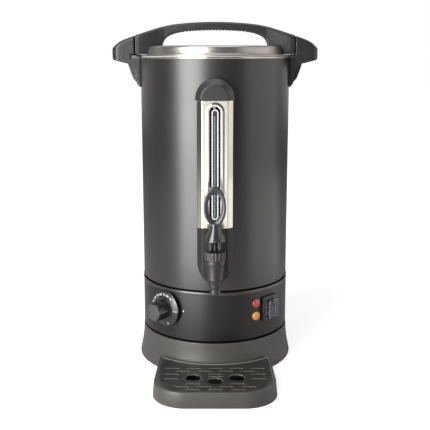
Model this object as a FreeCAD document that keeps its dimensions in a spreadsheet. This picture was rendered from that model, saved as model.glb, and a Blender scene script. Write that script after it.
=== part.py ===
import FreeCAD, Part
import math
import os

import Sketcher

# Ten-litre hot water urn. The origin is on the urn's axis at table level, +Z up, and the tap faces -Y.

SIZES = {
    # base skirt and control band
    "skirt_foot_radius": 118.8,
    "skirt_rim_radius": 117,
    "skirt_waist_radius": 115.4,
    "skirt_neck_radius": 113.4,
    "skirt_top_radius": 112.6,
    "skirt_height": 49.2,
    "skirt_wall": 2.5,
    "band_radius": 112,
    "band_wall": 2.5,
    "band_top": 127.5,
    "groove_height": 0.9,
    "groove_depth": 1.4,
    # shell and tank
    "shell_radius": 111.4,
    "sheet": 0.8,
    "rim_low": 458.9,
    "rim_top": 461.3,
    "rim_radius": 112.2,
    "tank_radius": 104,
    "tank_floor": 127.8,
    # lid
    "seal_height": 1.4,
    "lid_radius": 111.3,
    "lid_flange_top": 464.7,
    "lid_disc_radius": 101.4,
    "lid_disc_top": 477.3,
    "lid_shoulder": 97,
    # one arched outline shared by the lid handle and the two side handles
    "arch_top": 512.5,
    "arch_crown_radius": 520,
    "arch_crown_angle": 6,
    "arch_shoulder_radius": 175,
    "arch_shoulder_angle": 17.5,
    "arch_flank_radius": 1072,
    "arch_flank_angle": 20,
    "arch_nose_radius": 47,
    "arch_nose_angle": 48,
    "arch_tip_radius": 5,
    "grip_thickness": 12,
    "finger_crown_angle": 5.5,
    "finger_shoulder_radius": 60,
    "finger_shoulder_angle": 25,
    "finger_corner_radius": 18,
    "finger_corner_angle": 75,
    "seam_radius": 119.3,
    "seam_gap": 0.3,
    "grip_half_depth": 13,
    "wing_half_depth": 18,
    "side_end": 152.7,
    "side_end_low": 461.3,
    "side_lip": 452.4,
    "side_corner": 10,
    "flare_start": 76,
    "flare_end": 112,
    "rib_pitch": 5,
    "rib_width": 2.2,
    "rib_depth": 1.3,
    "leg_foot": 417.5,
    "leg_thickness": 5,
    # sight-glass column
    "column_front": 133,
    "column_back": 108.8,
    "column_half": 25,
    "column_face_half": 18,
    "column_facet": 6.5,
    "panel_low": 226.5,
    "panel_top": 403.9,
    "slot_half": 7.7,
    "slot_low": 235,
    "slot_top": 395.5,
    "frame_width": 3.7,
    "frame_height": 0.7,
    "cap_half": 26.95,
    "cap_height": 29,
    "cap_front": 135,
    "cap_chamfer": 8,
    "housing_bend": 173,
    "housing_tip": 148,
    "glass_radius": 5.2,
    "glass_bore": 4,
    "glass_reach": 124,
    "glass_low": 214.5,
    "glass_top": 413,
    # tap
    "tap_reach": 170,
    "inlet_height": 181,
    "inlet_radius": 10,
    "spout_tip_radius": 7.35,
    "spout_low": 144,
    "spout_top": 192,
    "spout_radius": 13.5,
    "spout_bore": 5,
    "chamber_radius": 9.5,
    "seat_height": 172,
    "bonnet_radius": 14.3,
    "bonnet_top": 204.2,
    "stem_radius": 3,
    "running_gap": 0.06,
    "spring_radius": 4.9,
    "spring_wire": 0.9,
    "pin_height": 211,
    "pin_radius": 1.5,
    "bell_low": 218,
    "bell_radius": 14.1,
    "neck_radius": 6.5,
    "neck_height": 240.6,
    "loop_top": 293.5,
    "loop_half": 15.15,
    "loop_hole_half": 9.75,
    "loop_hole_low": 243.3,
    "loop_hole_top": 282.1,
    "lever_half_depth": 5,
    # controls
    "controls_height": 96,
    "knob_azimuth": -39.75,
    "knob_skirt_radius": 27,
    "knob_skirt_thickness": 4,
    "knob_hub_radius": 17,
    "knob_length": 28,
    "shaft_radius": 3,
    "lamp_azimuth": 32.6,
    "lamp_red_height": 105.7,
    "lamp_amber_height": 86.1,
    "lamp_radius": 6.5,
    "switch_azimuth": 46,
    "switch_height": 94.3,
    "switch_half_width": 16,
    "switch_half_height": 18.75,
    "rocker_tilt": 9,
    # heating
    "heater_radius": 62,
    "heater_tube": 4,
    "plate_radius": 85,
    # drip tray
    "tray_height": 22,
    "tray_front": 220,
    "tray_half_back": 82,
    "tray_half_front": 85,
    "tray_corner": 45,
    "tray_bend": 175,
    "tray_gap": 0.7,
    "tray_flare": 2,
    "tray_rim": 3.2,
    "tray_recess": 2.4,
    "tray_floor": 3,
    "grille_thickness": 2,
    "drip_hole_radius": 11,
    # fasteners and feet
    "screw_radius": 1.9,
    "screw_head_radius": 3.6,
    "foot_radius": 9,
    "foot_circle": 98,
    "base_plate_height": 5,
    "cable_height": 80,
}

doc = FreeCAD.newDocument("HotWaterUrn")
sheet = doc.addObject("Spreadsheet::Sheet", "Sizes")
for row, (alias, number) in enumerate(SIZES.items(), start=1):
    sheet.set("A%d" % row, str(number))
    sheet.setAlias("A%d" % row, alias)
doc.recompute()


class Dim:
    """A size that carries both its present value and its formula in the sheet."""

    def __init__(self, value, text):
        self.value = float(value)
        self.text = text

    def __add__(self, other):
        other = dim(other)
        return Dim(self.value + other.value, "(%s + %s)" % (self.text, other.text))

    def __radd__(self, other):
        return dim(other) + self

    def __sub__(self, other):
        other = dim(other)
        return Dim(self.value - other.value, "(%s - %s)" % (self.text, other.text))

    def __rsub__(self, other):
        return dim(other) - self

    def __mul__(self, other):
        other = dim(other)
        return Dim(self.value * other.value, "%s * %s" % (self.text, other.text))

    def __rmul__(self, other):
        return dim(other) * self

    def __truediv__(self, other):
        other = dim(other)
        return Dim(self.value / other.value, "%s / %s" % (self.text, other.text))

    def __neg__(self):
        return Dim(-self.value, "(-1 * %s)" % self.text)


def dim(number):
    return number if isinstance(number, Dim) else Dim(number, repr(float(number)))


def sine(angle):
    return Dim(math.sin(math.radians(angle.value)), "sin(%s)" % angle.text)


def cosine(angle):
    return Dim(math.cos(math.radians(angle.value)), "cos(%s)" % angle.text)


class Table:
    """The sheet's sizes as attributes."""

    def __getattr__(self, alias):
        return Dim(SIZES[alias], "Sizes.%s" % alias)


d = Table()
ORIGIN = FreeCAD.Vector(0, 0, 0)
UP = FreeCAD.Vector(0, 0, 1)
nodes = []


def bind(item, **sizes):
    for key, size in sizes.items():
        item.setExpression(key, dim(size).text)


def place(item, x=0, y=0, z=0):
    """Puts an item's origin at x, y, z."""
    at = [dim(size) for size in (x, y, z)]
    item.Placement = FreeCAD.Placement(FreeCAD.Vector(*[size.value for size in at]), FreeCAD.Rotation())
    for axis, size in zip("xyz", at):
        item.setExpression(".Placement.Base." + axis, size.text)


def aim(item, azimuth, reach, height, tilt=0.0):
    """Turns an item's Z outward at an azimuth from the tap's side, its Y up, and moves it out to a reach."""
    azimuth, reach, height = dim(azimuth), dim(reach), dim(height)
    turn = FreeCAD.Rotation(UP, azimuth.value) * FreeCAD.Rotation(FreeCAD.Vector(1, 0, 0), 90 + tilt)
    item.Placement = FreeCAD.Placement(ORIGIN, turn)
    item.setExpression(".Placement.Base.x", (reach * sine(azimuth)).text)
    item.setExpression(".Placement.Base.y", (-(reach * cosine(azimuth))).text)
    item.setExpression(".Placement.Base.z", height.text)


def new_body(label):
    body = doc.addObject("PartDesign::Body", label)
    body.Label = label
    body.AllowCompound = True
    nodes.append(body)
    return body


def origin_plane(body, role):
    return next(item for item in body.Origin.OriginFeatures if item.Role == role)


def arc_centre(start, end, radius):
    """The centre of an arc from start to end: a positive radius turns anticlockwise."""
    chord = end - start
    half = chord.Length / 2
    rise = math.sqrt(max(radius * radius - half * half, 0.0))
    side = FreeCAD.Vector(-chord.y, chord.x, 0).normalize()
    return (start + end) * 0.5 + side * (rise if radius > 0 else -rise)


def draw(sketch, path):
    """Draws one closed outline: (x, y) is a line to that point, (x, y, radius) an arc of under a half turn."""
    points = [[dim(size) for size in step] for step in path]
    spots = [FreeCAD.Vector(point[0].value, point[1].value, 0) for point in points]
    count = len(points)
    rules = []
    ends = []
    for index in range(count):
        start, end = spots[index], spots[(index + 1) % count]
        target = points[(index + 1) % count]
        radius = target[2].value if len(target) > 2 else 0.0
        if radius == 0.0:
            line = sketch.addGeometry(Part.LineSegment(start, end), False)
            ends.append((line, 1, 2, None))
            continue
        centre = arc_centre(start, end, radius)
        first, last = (start, end) if radius > 0 else (end, start)
        angles = [math.atan2(spot.y - centre.y, spot.x - centre.x) for spot in (first, last)]
        if angles[1] < angles[0]:
            angles[1] += 2 * math.pi
        circle = Part.Circle(centre, UP, abs(radius))
        arc = sketch.addGeometry(Part.ArcOfCircle(circle, angles[0], angles[1]), False)
        ends.append((arc, 1, 2, target[2]) if radius > 0 else (arc, 2, 1, -target[2]))
    formulas = []
    for index, (item, first, last, radius) in enumerate(ends):
        following = ends[(index + 1) % count]
        rules.append(Sketcher.Constraint("Coincident", item, last, following[0], following[1]))
        formulas.append(None)
        if radius is not None:
            rules.append(Sketcher.Constraint("Radius", item, abs(radius.value)))
            formulas.append(radius.text)
        for kind, size, axis in (("DistanceX", points[index][0], -2), ("DistanceY", points[index][1], -1)):
            if size.value == 0:
                rules.append(Sketcher.Constraint("PointOnObject", item, first, axis))
                formulas.append(None)
            else:
                rules.append(Sketcher.Constraint(kind, -1, 1, item, first, size.value))
                formulas.append(size.text)
    numbers = sketch.addConstraint(rules)
    for number, formula in zip(numbers, formulas):
        if formula is not None:
            sketch.setExpression("Constraints[%d]" % number, formula)


def draw_circle(sketch, x, y, radius):
    x, y, radius = dim(x), dim(y), dim(radius)
    spot = FreeCAD.Vector(x.value, y.value, 0)
    item = sketch.addGeometry(Part.Circle(spot, UP, radius.value), False)
    number = sketch.addConstraint(Sketcher.Constraint("Radius", item, radius.value))
    sketch.setExpression("Constraints[%d]" % number, radius.text)
    for kind, size, axis in (("DistanceX", x, -2), ("DistanceY", y, -1)):
        if size.value == 0:
            sketch.addConstraint(Sketcher.Constraint("PointOnObject", item, 3, axis))
        else:
            number = sketch.addConstraint(Sketcher.Constraint(kind, -1, 1, item, 3, size.value))
            sketch.setExpression("Constraints[%d]" % number, size.text)


def new_sketch(body, role, *paths, lift=None):
    sketch = body.newObject("Sketcher::SketchObject", body.Label + "_sketch")
    sketch.AttachmentSupport = [(origin_plane(body, role), "")]
    sketch.MapMode = "FlatFace"
    if lift is not None:
        sketch.AttachmentOffset = FreeCAD.Placement(FreeCAD.Vector(0, 0, lift.value), FreeCAD.Rotation())
        sketch.setExpression(".AttachmentOffset.Base.z", lift.text)
    for path in paths:
        if isinstance(path, tuple):
            draw_circle(sketch, *path)
        else:
            draw(sketch, path)
    sketch.Visibility = False
    return sketch


def feature(body, kind, sketch, **sizes):
    item = body.newObject("PartDesign::" + kind, body.Label + "_" + kind.lower())
    item.Profile = sketch
    bind(item, **sizes)
    return item


def revolve(body, path, cut=False):
    """Turns an outline of (radius, height) points about the body's Z axis."""
    sketch = new_sketch(body, "XZ_Plane", path)
    item = feature(body, "Groove" if cut else "Revolution", sketch)
    item.ReferenceAxis = (sketch, ["V_Axis"])
    item.Angle = 360
    doc.recompute()
    return item


def pad(body, sketch, length, midplane=False, reverse=False):
    item = feature(body, "Pad", sketch, Length=length)
    item.Midplane = midplane
    item.Reversed = reverse
    doc.recompute()
    return item


def pocket(body, sketch, length=None, midplane=False, reverse=False):
    """Cuts a sketch into the body, right through where no length is given, and refuses a cut that misses."""
    before = body.Shape.Volume
    item = feature(body, "Pocket", sketch)
    if length is None:
        item.Type = "ThroughAll"
    else:
        bind(item, Length=length)
    item.Midplane = midplane
    item.Reversed = reverse
    doc.recompute()
    if body.Shape.Volume > before - 0.01:
        raise RuntimeError("a pocket of %s cuts nothing" % body.Label)
    return item


def chamfer(body, pick, height, depth=None):
    """Bevels the edges of the body's tip that pick accepts."""
    tip = body.Tip
    names = ["Edge%d" % n for n, edge in enumerate(tip.Shape.Edges, start=1) if pick(edge)]
    item = body.newObject("PartDesign::Chamfer", body.Label + "_chamfer")
    item.Base = (tip, names)
    bind(item, Size=height)
    if depth is not None:
        item.ChamferType = "Two distances"
        bind(item, Size2=depth)
    doc.recompute()
    if "Invalid" in item.State or not names:
        raise RuntimeError("the bevel of %s fails on %s" % (body.Label, names))
    return item


def fillet(body, pick, radius):
    tip = body.Tip
    names = ["Edge%d" % n for n, edge in enumerate(tip.Shape.Edges, start=1) if pick(edge)]
    item = body.newObject("PartDesign::Fillet", body.Label + "_fillet")
    item.Base = (tip, names)
    bind(item, Radius=radius)
    doc.recompute()
    if "Invalid" in item.State or not names:
        raise RuntimeError("the round of %s fails on %s" % (body.Label, names))
    return item


def polar(body, features, count):
    """Repeats features about the body's Z axis."""
    item = body.newObject("PartDesign::PolarPattern", body.Label + "_pattern")
    item.Originals = features
    axis = next(part for part in body.Origin.OriginFeatures if part.Role == "Z_Axis")
    item.Axis = (axis, [""])
    item.Angle = 360
    item.Occurrences = count
    body.Tip = item
    doc.recompute()
    return item


def bore(body, radius, azimuth, height, near, far):
    """Drills a radial hole from one reach to another."""
    item = body.newObject("PartDesign::SubtractiveCylinder", body.Label + "_bore")
    bind(item, Radius=radius, Height=dim(far) - near)
    aim(item, azimuth, near, height)
    doc.recompute()
    return item


def block_cut(body, corner, size):
    """Cuts a box, given by its low corner and its three sizes."""
    item = body.newObject("PartDesign::SubtractiveBox", body.Label + "_cut")
    bind(item, Length=size[0], Width=size[1], Height=size[2])
    place(item, *corner)
    doc.recompute()
    return item


def box_path(x0, y0, x1, y1):
    return [(x0, y0), (x1, y0), (x1, y1), (x0, y1)]


def stadium(x0, x1, y, radius):
    """An upright or flat slot outline with round ends, along X at height y."""
    return [
        (x0 + radius, y - radius),
        (x1 - radius, y - radius),
        (x1, y, radius),
        (x1 - radius, y + radius, radius),
        (x0 + radius, y + radius),
        (x0, y, radius),
    ]


def upright_stadium(half, low, top):
    return [
        (half, low + half),
        (half, top - half),
        (0, top, half),
        (-half, top - half, half),
        (-half, low + half),
        (0, low, half),
        (half, low + half, half),
    ][:-1]


def close_arc(path, radius):
    """Marks the closing side of an outline as an arc."""
    first = path[0]
    return [(first[0], first[1], radius)] + path[1:]


# Base: skirt, plate, pads


def make_base():
    skirt = new_body("base_ring")
    inner = d.skirt_rim_radius - d.skirt_wall
    revolve(skirt, [
        (inner, 0),
        (d.skirt_rim_radius, 0),
        (d.skirt_foot_radius, 1.8, 1.8),
        (d.skirt_foot_radius, 3),
        (d.skirt_waist_radius, 19),
        (d.skirt_neck_radius, 34),
        (d.skirt_top_radius, d.skirt_height - 1),
        (d.skirt_top_radius - 1, d.skirt_height, 1),
        (d.skirt_top_radius - 9, d.skirt_height),
        (d.skirt_top_radius - 9, d.skirt_height - d.skirt_wall),
        (d.skirt_top_radius - d.skirt_wall, d.skirt_height - d.skirt_wall),
        (d.skirt_neck_radius - d.skirt_wall, 34),
        (d.skirt_waist_radius - d.skirt_wall, 19),
        (inner, 3),
    ])
    # three screw bosses hang from the top flange down to the base plate
    boss_top = d.base_plate_height + 1.2
    boss = pad(
        skirt,
        new_sketch(skirt, "XY_Plane", (0, -105, 5), lift=boss_top),
        d.skirt_height - d.skirt_wall - boss_top + 0.5,
    )
    bosses = polar(skirt, [boss], 3)
    pilot = pocket(
        skirt, new_sketch(skirt, "XY_Plane", (0, -105, d.screw_radius), lift=boss_top), 16, reverse=True
    )
    polar(skirt, [pilot], 3)
    # the drip tray's tongues pass under the front of the rim
    block_cut(skirt, (-31, -121, 0), (62, 16, 4.5))
    for azimuth in (-58, 58):
        notch = skirt.newObject("PartDesign::SubtractiveBox", "rim_notch")
        bind(notch, Length=7, Width=8, Height=2.2)
        spot = FreeCAD.Rotation(UP, azimuth).multVec(FreeCAD.Vector(-3.5, -120, 0))
        notch.Placement = FreeCAD.Placement(spot, FreeCAD.Rotation(UP, azimuth))
        doc.recompute()

    plate = new_body("base_plate")
    low = d.base_plate_height
    revolve(plate, box_path(0, low, 113.6, low + 1.2))
    vent = pocket(
        plate,
        new_sketch(plate, "XY_Plane", box_path(-2.5, 40, 2.5, 66)),
        midplane=True,
    )
    polar(plate, [vent], 10)
    hole = pocket(plate, new_sketch(plate, "XY_Plane", (0, -105, d.screw_radius + 0.1)), midplane=True)
    polar(plate, [hole], 3)

    screws = new_body("base_screws")
    item = pad(screws, new_sketch(screws, "XY_Plane", (0, -105, d.screw_radius), lift=low), 12)
    head = pad(screws, new_sketch(screws, "XY_Plane", (0, -105, d.screw_head_radius), lift=low), 2.2, reverse=True)
    polar(screws, [item, head], 3)

    feet = new_body("rubber_feet")
    foot = pad(feet, new_sketch(feet, "XY_Plane", (0, d.foot_circle, d.foot_radius)), low)
    polar(feet, [foot], 3)

    terminals = new_body("terminal_block")
    sketch = new_sketch(terminals, "XY_Plane", box_path(20, 30, 60, 46), lift=low + 1.2)
    pad(terminals, sketch, 13)
    ports = [(26 + 9 * n, 38, 2.6) for n in range(4)]
    pocket(terminals, new_sketch(terminals, "XY_Plane", *ports, lift=low + 14.2), 8)


# Control band with the parts that it carries


def make_band():
    band = new_body("control_band")
    base = d.skirt_height
    inner = d.band_radius - d.band_wall
    lip = d.band_radius - d.groove_depth
    revolve(band, [
        (inner, base),
        (lip, base),
        (lip, base + d.groove_height),
        (d.band_radius, base + d.groove_height),
        (d.band_radius, d.band_top - d.groove_height - 1.5),
        (d.band_radius - 1.5, d.band_top - d.groove_height, 1.5),
        (lip, d.band_top - d.groove_height),
        (lip, d.band_top),
        (inner, d.band_top),
    ])
    bore(band, d.shaft_radius + 1.5, d.knob_azimuth, d.controls_height, 100, 115)
    bore(band, 5, d.lamp_azimuth, d.lamp_red_height, 100, 115)
    bore(band, 5, d.lamp_azimuth, d.lamp_amber_height, 100, 115)
    bore(band, 7, 180, d.cable_height, 100, 115)
    window = band.newObject("PartDesign::SubtractiveBox", "switch_window")
    bind(window, Length=22, Width=28, Height=15)
    turn = FreeCAD.Rotation(UP, SIZES["switch_azimuth"]) * FreeCAD.Rotation(FreeCAD.Vector(1, 0, 0), 90)
    corner = FreeCAD.Vector(0, 0, SIZES["switch_height"]) + turn.multVec(FreeCAD.Vector(-11, -14, 100))
    window.Placement = FreeCAD.Placement(corner, turn)
    doc.recompute()

    for label, height in (("lamp_red", d.lamp_red_height), ("lamp_amber", d.lamp_amber_height)):
        lamp = new_body(label)
        revolve(lamp, [
            (0, -14),
            (4.9, -14),
            (4.9, 0.3),
            (d.lamp_radius, 0.3),
            (d.lamp_radius, 1.8),
            (d.lamp_radius - 1.2, 3.2),
            (3, 4.2),
            (0, 4.2),
        ])
        aim(lamp, d.lamp_azimuth, d.band_radius, height)

    gland = new_body("cable_gland")
    revolve(gland, [(3.4, -12), (6.9, -12), (6.9, 0.4), (10, 0.4), (10, 3), (7, 6), (5.4, 16), (3.4, 16)])
    aim(gland, 180, d.band_radius, d.cable_height)


def make_thermostat():
    azimuth, height = d.knob_azimuth, d.controls_height
    stat = new_body("thermostat")
    pad(stat, new_sketch(stat, "XY_Plane", box_path(-17, -17, 17, 17), lift=dim(-27)), 22)
    pad(stat, new_sketch(stat, "XY_Plane", (0, 0, d.shaft_radius + 1.4), lift=dim(-5)), 6.5)
    bush = d.shaft_radius + d.running_gap
    pocket(stat, new_sketch(stat, "XY_Plane", (0, 0, bush), lift=dim(-20)), 30, reverse=True)
    aim(stat, azimuth, d.band_radius, height)

    shaft = new_body("knob_shaft")
    pad(shaft, new_sketch(shaft, "XY_Plane", (0, 0, d.shaft_radius), lift=dim(-18)), 36)
    aim(shaft, azimuth, d.band_radius, height)

    # knob: a dial skirt round a six-sided grip
    knob = new_body("control_knob")
    foot = dim(2)
    revolve(knob, [
        (0, foot),
        (d.knob_skirt_radius - 1, foot),
        (d.knob_skirt_radius, foot + 1, 1),
        (d.knob_skirt_radius, foot + 2.4),
        (d.knob_skirt_radius - 2, foot + d.knob_skirt_thickness),
        (0, foot + d.knob_skirt_thickness),
    ])
    corners = [
        (d.knob_hub_radius * sine(dim(60 * n + 30)), d.knob_hub_radius * cosine(dim(60 * n + 30)))
        for n in range(6, 0, -1)
    ]
    grip = pad(knob, new_sketch(knob, "XY_Plane", corners, lift=foot + 3), d.knob_length - 5)
    side = (SIZES["knob_hub_radius"] * 0.8, SIZES["knob_length"] - 1)
    fillet(knob, lambda edge: upright(edge, side[0], 10), 3)
    fillet(knob, lambda edge: level(edge, SIZES["knob_length"]), 1)
    pocket(knob, new_sketch(knob, "XY_Plane", (0, 0, d.shaft_radius), lift=foot), 16, reverse=True)
    aim(knob, azimuth, d.band_radius, height)


def upright(edge, reach, length):
    """True for a straight edge along Z, at least this far from the Z axis and this long."""
    ends = [vertex.Point for vertex in edge.Vertexes]
    if len(ends) < 2 or edge.Curve.TypeId != "Part::GeomLine":
        return False
    run = ends[1] - ends[0]
    return abs(run.z) > length and math.hypot(run.x, run.y) < 0.01 and math.hypot(ends[0].x, ends[0].y) > reach


def level(edge, height):
    return all(abs(vertex.Point.z - height) < 0.01 for vertex in edge.Vertexes)


def make_switch():
    azimuth, height = d.switch_azimuth, d.switch_height
    half, tall = d.switch_half_width, d.switch_half_height
    frame = new_body("switch_frame")
    # the bezel's back is cut to the band's curve
    pad(frame, new_sketch(frame, "XY_Plane", rounded_box(half, tall, 4), lift=dim(-2)), 6)
    pocket(frame, new_sketch(frame, "XY_Plane", box_path(-11, -14, 11, 14)), midplane=True)
    saddle = frame.newObject("PartDesign::SubtractiveCylinder", "band_saddle")
    bind(saddle, Radius=d.band_radius, Height=80)
    turn = FreeCAD.Rotation(FreeCAD.Vector(1, 0, 0), -90)
    saddle.Placement = FreeCAD.Placement(FreeCAD.Vector(0, -40, -SIZES["band_radius"]), turn)
    doc.recompute()
    aim(frame, azimuth, d.band_radius, height)

    inside = new_body("switch_body")
    pad(inside, new_sketch(inside, "XY_Plane", box_path(-10.8, -13.8, 10.8, 13.8), lift=dim(-24)), 24)
    pocket(inside, new_sketch(inside, "XY_Plane", box_path(-9.6, -12.6, 9.6, 12.6)), 11)
    for x in (-5, 5):
        pad(inside, new_sketch(inside, "XY_Plane", box_path(x - 0.4, -3, x + 0.4, 3), lift=dim(-32)), 8.5)
    aim(inside, azimuth, d.band_radius, height)

    # the rocker swings on the middle of its body and stands tipped to its off side
    rocker = new_body("switch_rocker")
    sketch = new_sketch(rocker, "YZ_Plane", [
        (-10.5, 4.2), (-9, -4), (9, -4), (10.5, 4.2), (10, 6), (0, 3.6, -34), (-10, 6, -34),
    ])
    pad(rocker, sketch, 18, midplane=True)
    pad(rocker, new_sketch(rocker, "YZ_Plane", (0, 0, 1.4)), 19.1, midplane=True)
    aim(rocker, azimuth, d.band_radius - 2, height, tilt=SIZES["rocker_tilt"])

    # soft clear boot over the rocker, hollow with room for its travel
    boot = new_body("switch_boot")
    wall = dim(0.8)
    pad(boot, new_sketch(boot, "XY_Plane", rounded_box(half - 2, tall - 2, 3), lift=dim(4)), 7)
    fillet(boot, lambda edge: level(edge, 11), 2.5)
    pocket(boot, new_sketch(boot, "XY_Plane", rounded_box(half - 2.8, tall - 2.8, 2.5), lift=dim(4)), 5.8, reverse=True)
    aim(boot, azimuth, d.band_radius, height)


def rounded_box(half_x, half_y, radius):
    return close_arc([
        (half_x, -half_y + radius),
        (half_x, half_y - radius),
        (half_x - radius, half_y, radius),
        (-half_x + radius, half_y),
        (-half_x, half_y - radius, radius),
        (-half_x, -half_y + radius),
        (-half_x + radius, -half_y, radius),
        (half_x - radius, -half_y),
    ], radius)


# Shell, tank and heater


def make_vessel():
    shell = new_body("outer_shell")
    outer = d.shell_radius
    revolve(shell, box_path(outer - d.sheet, d.band_top, outer, d.rim_top - d.sheet - 0.2))
    bore(shell, 12, 0, d.inlet_height, 105, 115)
    for azimuth in (-90, 90):
        for height in (450, 431):
            bore(shell, d.screw_radius + 0.1, azimuth, height, 105, 115)
    for height in (419, 217):
        bore(shell, d.screw_radius + 0.1, 0, height, 105, 115)

    tank = new_body("inner_tank")
    inner = d.tank_radius
    wall = d.tank_radius + d.sheet
    low = d.tank_floor
    revolve(tank, [
        (0, low - d.sheet),
        (inner - 5, low - d.sheet),
        (wall, low + 5, 5 + d.sheet),
        (wall, d.rim_top - d.sheet),
        (outer, d.rim_top - d.sheet),
        (outer, d.rim_low),
        (d.rim_radius, d.rim_low),
        (d.rim_radius, d.rim_top - 0.6),
        (d.rim_radius - 0.6, d.rim_top, 0.6),
        (inner, d.rim_top),
        (inner, low + 5),
        (inner - 5, low, -5),
        (0, low),
    ])
    bore(tank, 8.1, 0, d.inlet_height, 95, 108)

    plate = new_body("heating_plate")
    top = d.tank_floor - d.sheet
    revolve(plate, box_path(0, top - 4, d.plate_radius, top))

    element = new_body("heating_element")
    centre = top - 4 - d.heater_tube
    ring = new_sketch(element, "XZ_Plane", (d.heater_radius, centre, d.heater_tube))
    turned = feature(element, "Revolution", ring)
    turned.ReferenceAxis = (ring, ["V_Axis"])
    turned.Angle = 320
    doc.recompute()
    for angle in (0, 320):
        spot = FreeCAD.Rotation(UP, angle).multVec(FreeCAD.Vector(SIZES["heater_radius"], 0, 0))
        pad(element, new_sketch(element, "XY_Plane", (spot.x, spot.y, 3), lift=centre - 16), 16)

    cutout = new_body("boil_dry_cutout")
    revolve(cutout, [
        (0, top - 16), (6, top - 16), (6, top - 10), (9, top - 10), (9, top - 5), (12, top - 5), (12, top - 4),
        (0, top - 4),
    ])


# Handles: one arch, cut into the lid's grip and two fixed side handles


def arch_points():
    """The tangent points of the arch's top line, from the crown down its right side."""
    x, z = dim(0), d.arch_top
    points = [(x, z)]
    before = dim(0)
    for radius, angle in (
        (d.arch_crown_radius, d.arch_crown_angle),
        (d.arch_shoulder_radius, d.arch_shoulder_angle),
        (d.arch_flank_radius, d.arch_flank_angle),
        (d.arch_nose_radius, d.arch_nose_angle),
    ):
        x = x + radius * (sine(angle) - sine(before))
        z = z - radius * (cosine(before) - cosine(angle))
        points.append((x, z, -radius))
        before = angle
    return points


def arch_height(x):
    """The height of the arch's top line at a distance from the middle, or None past its nose."""
    points = arch_points()
    angles = (0, SIZES["arch_crown_angle"], SIZES["arch_shoulder_angle"], SIZES["arch_flank_angle"])
    for start, end, angle in zip(points, points[1:], angles):
        if x <= end[0].value + 0.001:
            radius = -end[2].value
            centre_x = start[0].value - radius * math.sin(math.radians(angle))
            centre_z = start[1].value - radius * math.cos(math.radians(angle))
            return centre_z + math.sqrt(radius * radius - (x - centre_x) ** 2)
    return None


def finger_points():
    """The finger opening's line, from the lid's top up its right side to the crown."""
    crown = d.arch_crown_radius - d.grip_thickness
    x, z = dim(0), d.arch_top - d.grip_thickness
    points = [(x, z)]
    before = dim(0)
    for radius, angle in (
        (crown, d.finger_crown_angle),
        (d.finger_shoulder_radius, d.finger_shoulder_angle),
        (d.finger_corner_radius, d.finger_corner_angle),
    ):
        x = x + radius * (sine(angle) - sine(before))
        z = z - radius * (cosine(before) - cosine(angle))
        points.append((x, z, -radius))
        before = angle
    return points


def make_lid():
    pan = new_body("lid_pan")
    low = d.rim_top + d.seal_height
    t = d.sheet
    revolve(pan, [
        (0, d.lid_disc_top - t),
        (d.lid_shoulder - 0.6, d.lid_disc_top - t),
        (d.lid_disc_radius - 2.2 - t, d.lid_disc_top - 4, -6),
        (d.lid_disc_radius - t, d.lid_flange_top - t),
        (d.lid_radius - 1.2, d.lid_flange_top - t),
        (d.lid_radius - 1.2, low),
        (d.lid_radius - 0.4, low),
        (d.lid_radius, low + 0.6),
        (d.lid_radius, d.lid_flange_top - 0.7),
        (d.lid_radius - 0.7, d.lid_flange_top, 0.7),
        (d.lid_disc_radius, d.lid_flange_top),
        (d.lid_disc_radius - 2.2, d.lid_disc_top - 4),
        (d.lid_shoulder, d.lid_disc_top, 6.3),
        (0, d.lid_disc_top),
    ])
    for x in (-90, 90):
        for y in (-7, 7):
            pocket(pan, new_sketch(pan, "XY_Plane", (x, y, d.screw_radius + 0.1)), midplane=True)

    ring = new_body("lid_ring")
    top = d.lid_flange_top - t
    revolve(ring, [
        (102.4, top - 12),
        (103.2, top - 12),
        (103.2, top - 0.8),
        (105.2, top - 0.8),
        (105.2, top),
        (102.4, top),
    ])

    seal = new_body("lid_seal")
    revolve(seal, box_path(105.6, d.rim_top, d.lid_radius - 1.5, low))

    screws = new_body("lid_screws")
    for x in (-90, 90):
        for y in (-7, 7):
            under = d.lid_disc_top - t
            pad(screws, new_sketch(screws, "XY_Plane", (x, y, d.screw_radius), lift=under), 12)
            pad(screws, new_sketch(screws, "XY_Plane", (x, y, d.screw_head_radius), lift=under), 2, reverse=True)


def mirrored(right):
    """Closes an outline given down its right side, from a first point on the middle line to a last one there."""
    left = []
    for index in range(len(right) - 1, 0, -1):
        spot, radius = right[index - 1], right[index][2:]
        left.append((-dim(spot[0]), spot[1]) + tuple(radius))
    last = left.pop()
    return [right[0][:2] + tuple(last[2:])] + right[1:] + left


def trim_plan(body):
    """Trims a handle's plan: narrow at the grip, wider at the seam, with a rounded outer end."""
    end, half, wide, corner = d.side_end, d.grip_half_depth, d.wing_half_depth, d.side_corner
    near, far = d.flare_start, d.flare_end
    run, rise = (far - near) / 2, (wide - half) / 2
    sweep = (run * run + rise * rise) / (2 * rise)
    for side in (1, -1):
        path = [
            (-(end + 1), side * (wide + 20)),
            (end + 1, side * (wide + 20)),
            (end + 1, side * (wide - corner)),
            (end, side * (wide - corner)),
            (end - corner, side * wide, side * corner),
            (far, side * wide),
            (near + run, side * (half + rise), side * sweep),
            (near, side * half, -(side * sweep)),
            (-near, side * half),
            (-(near + run), side * (half + rise), -(side * sweep)),
            (-far, side * wide, side * sweep),
            (-(end - corner), side * wide),
            (-end, side * (wide - corner), side * corner),
            (-(end + 1), side * (wide - corner)),
        ]
        pocket(body, new_sketch(body, "XY_Plane", path), midplane=True)


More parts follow.
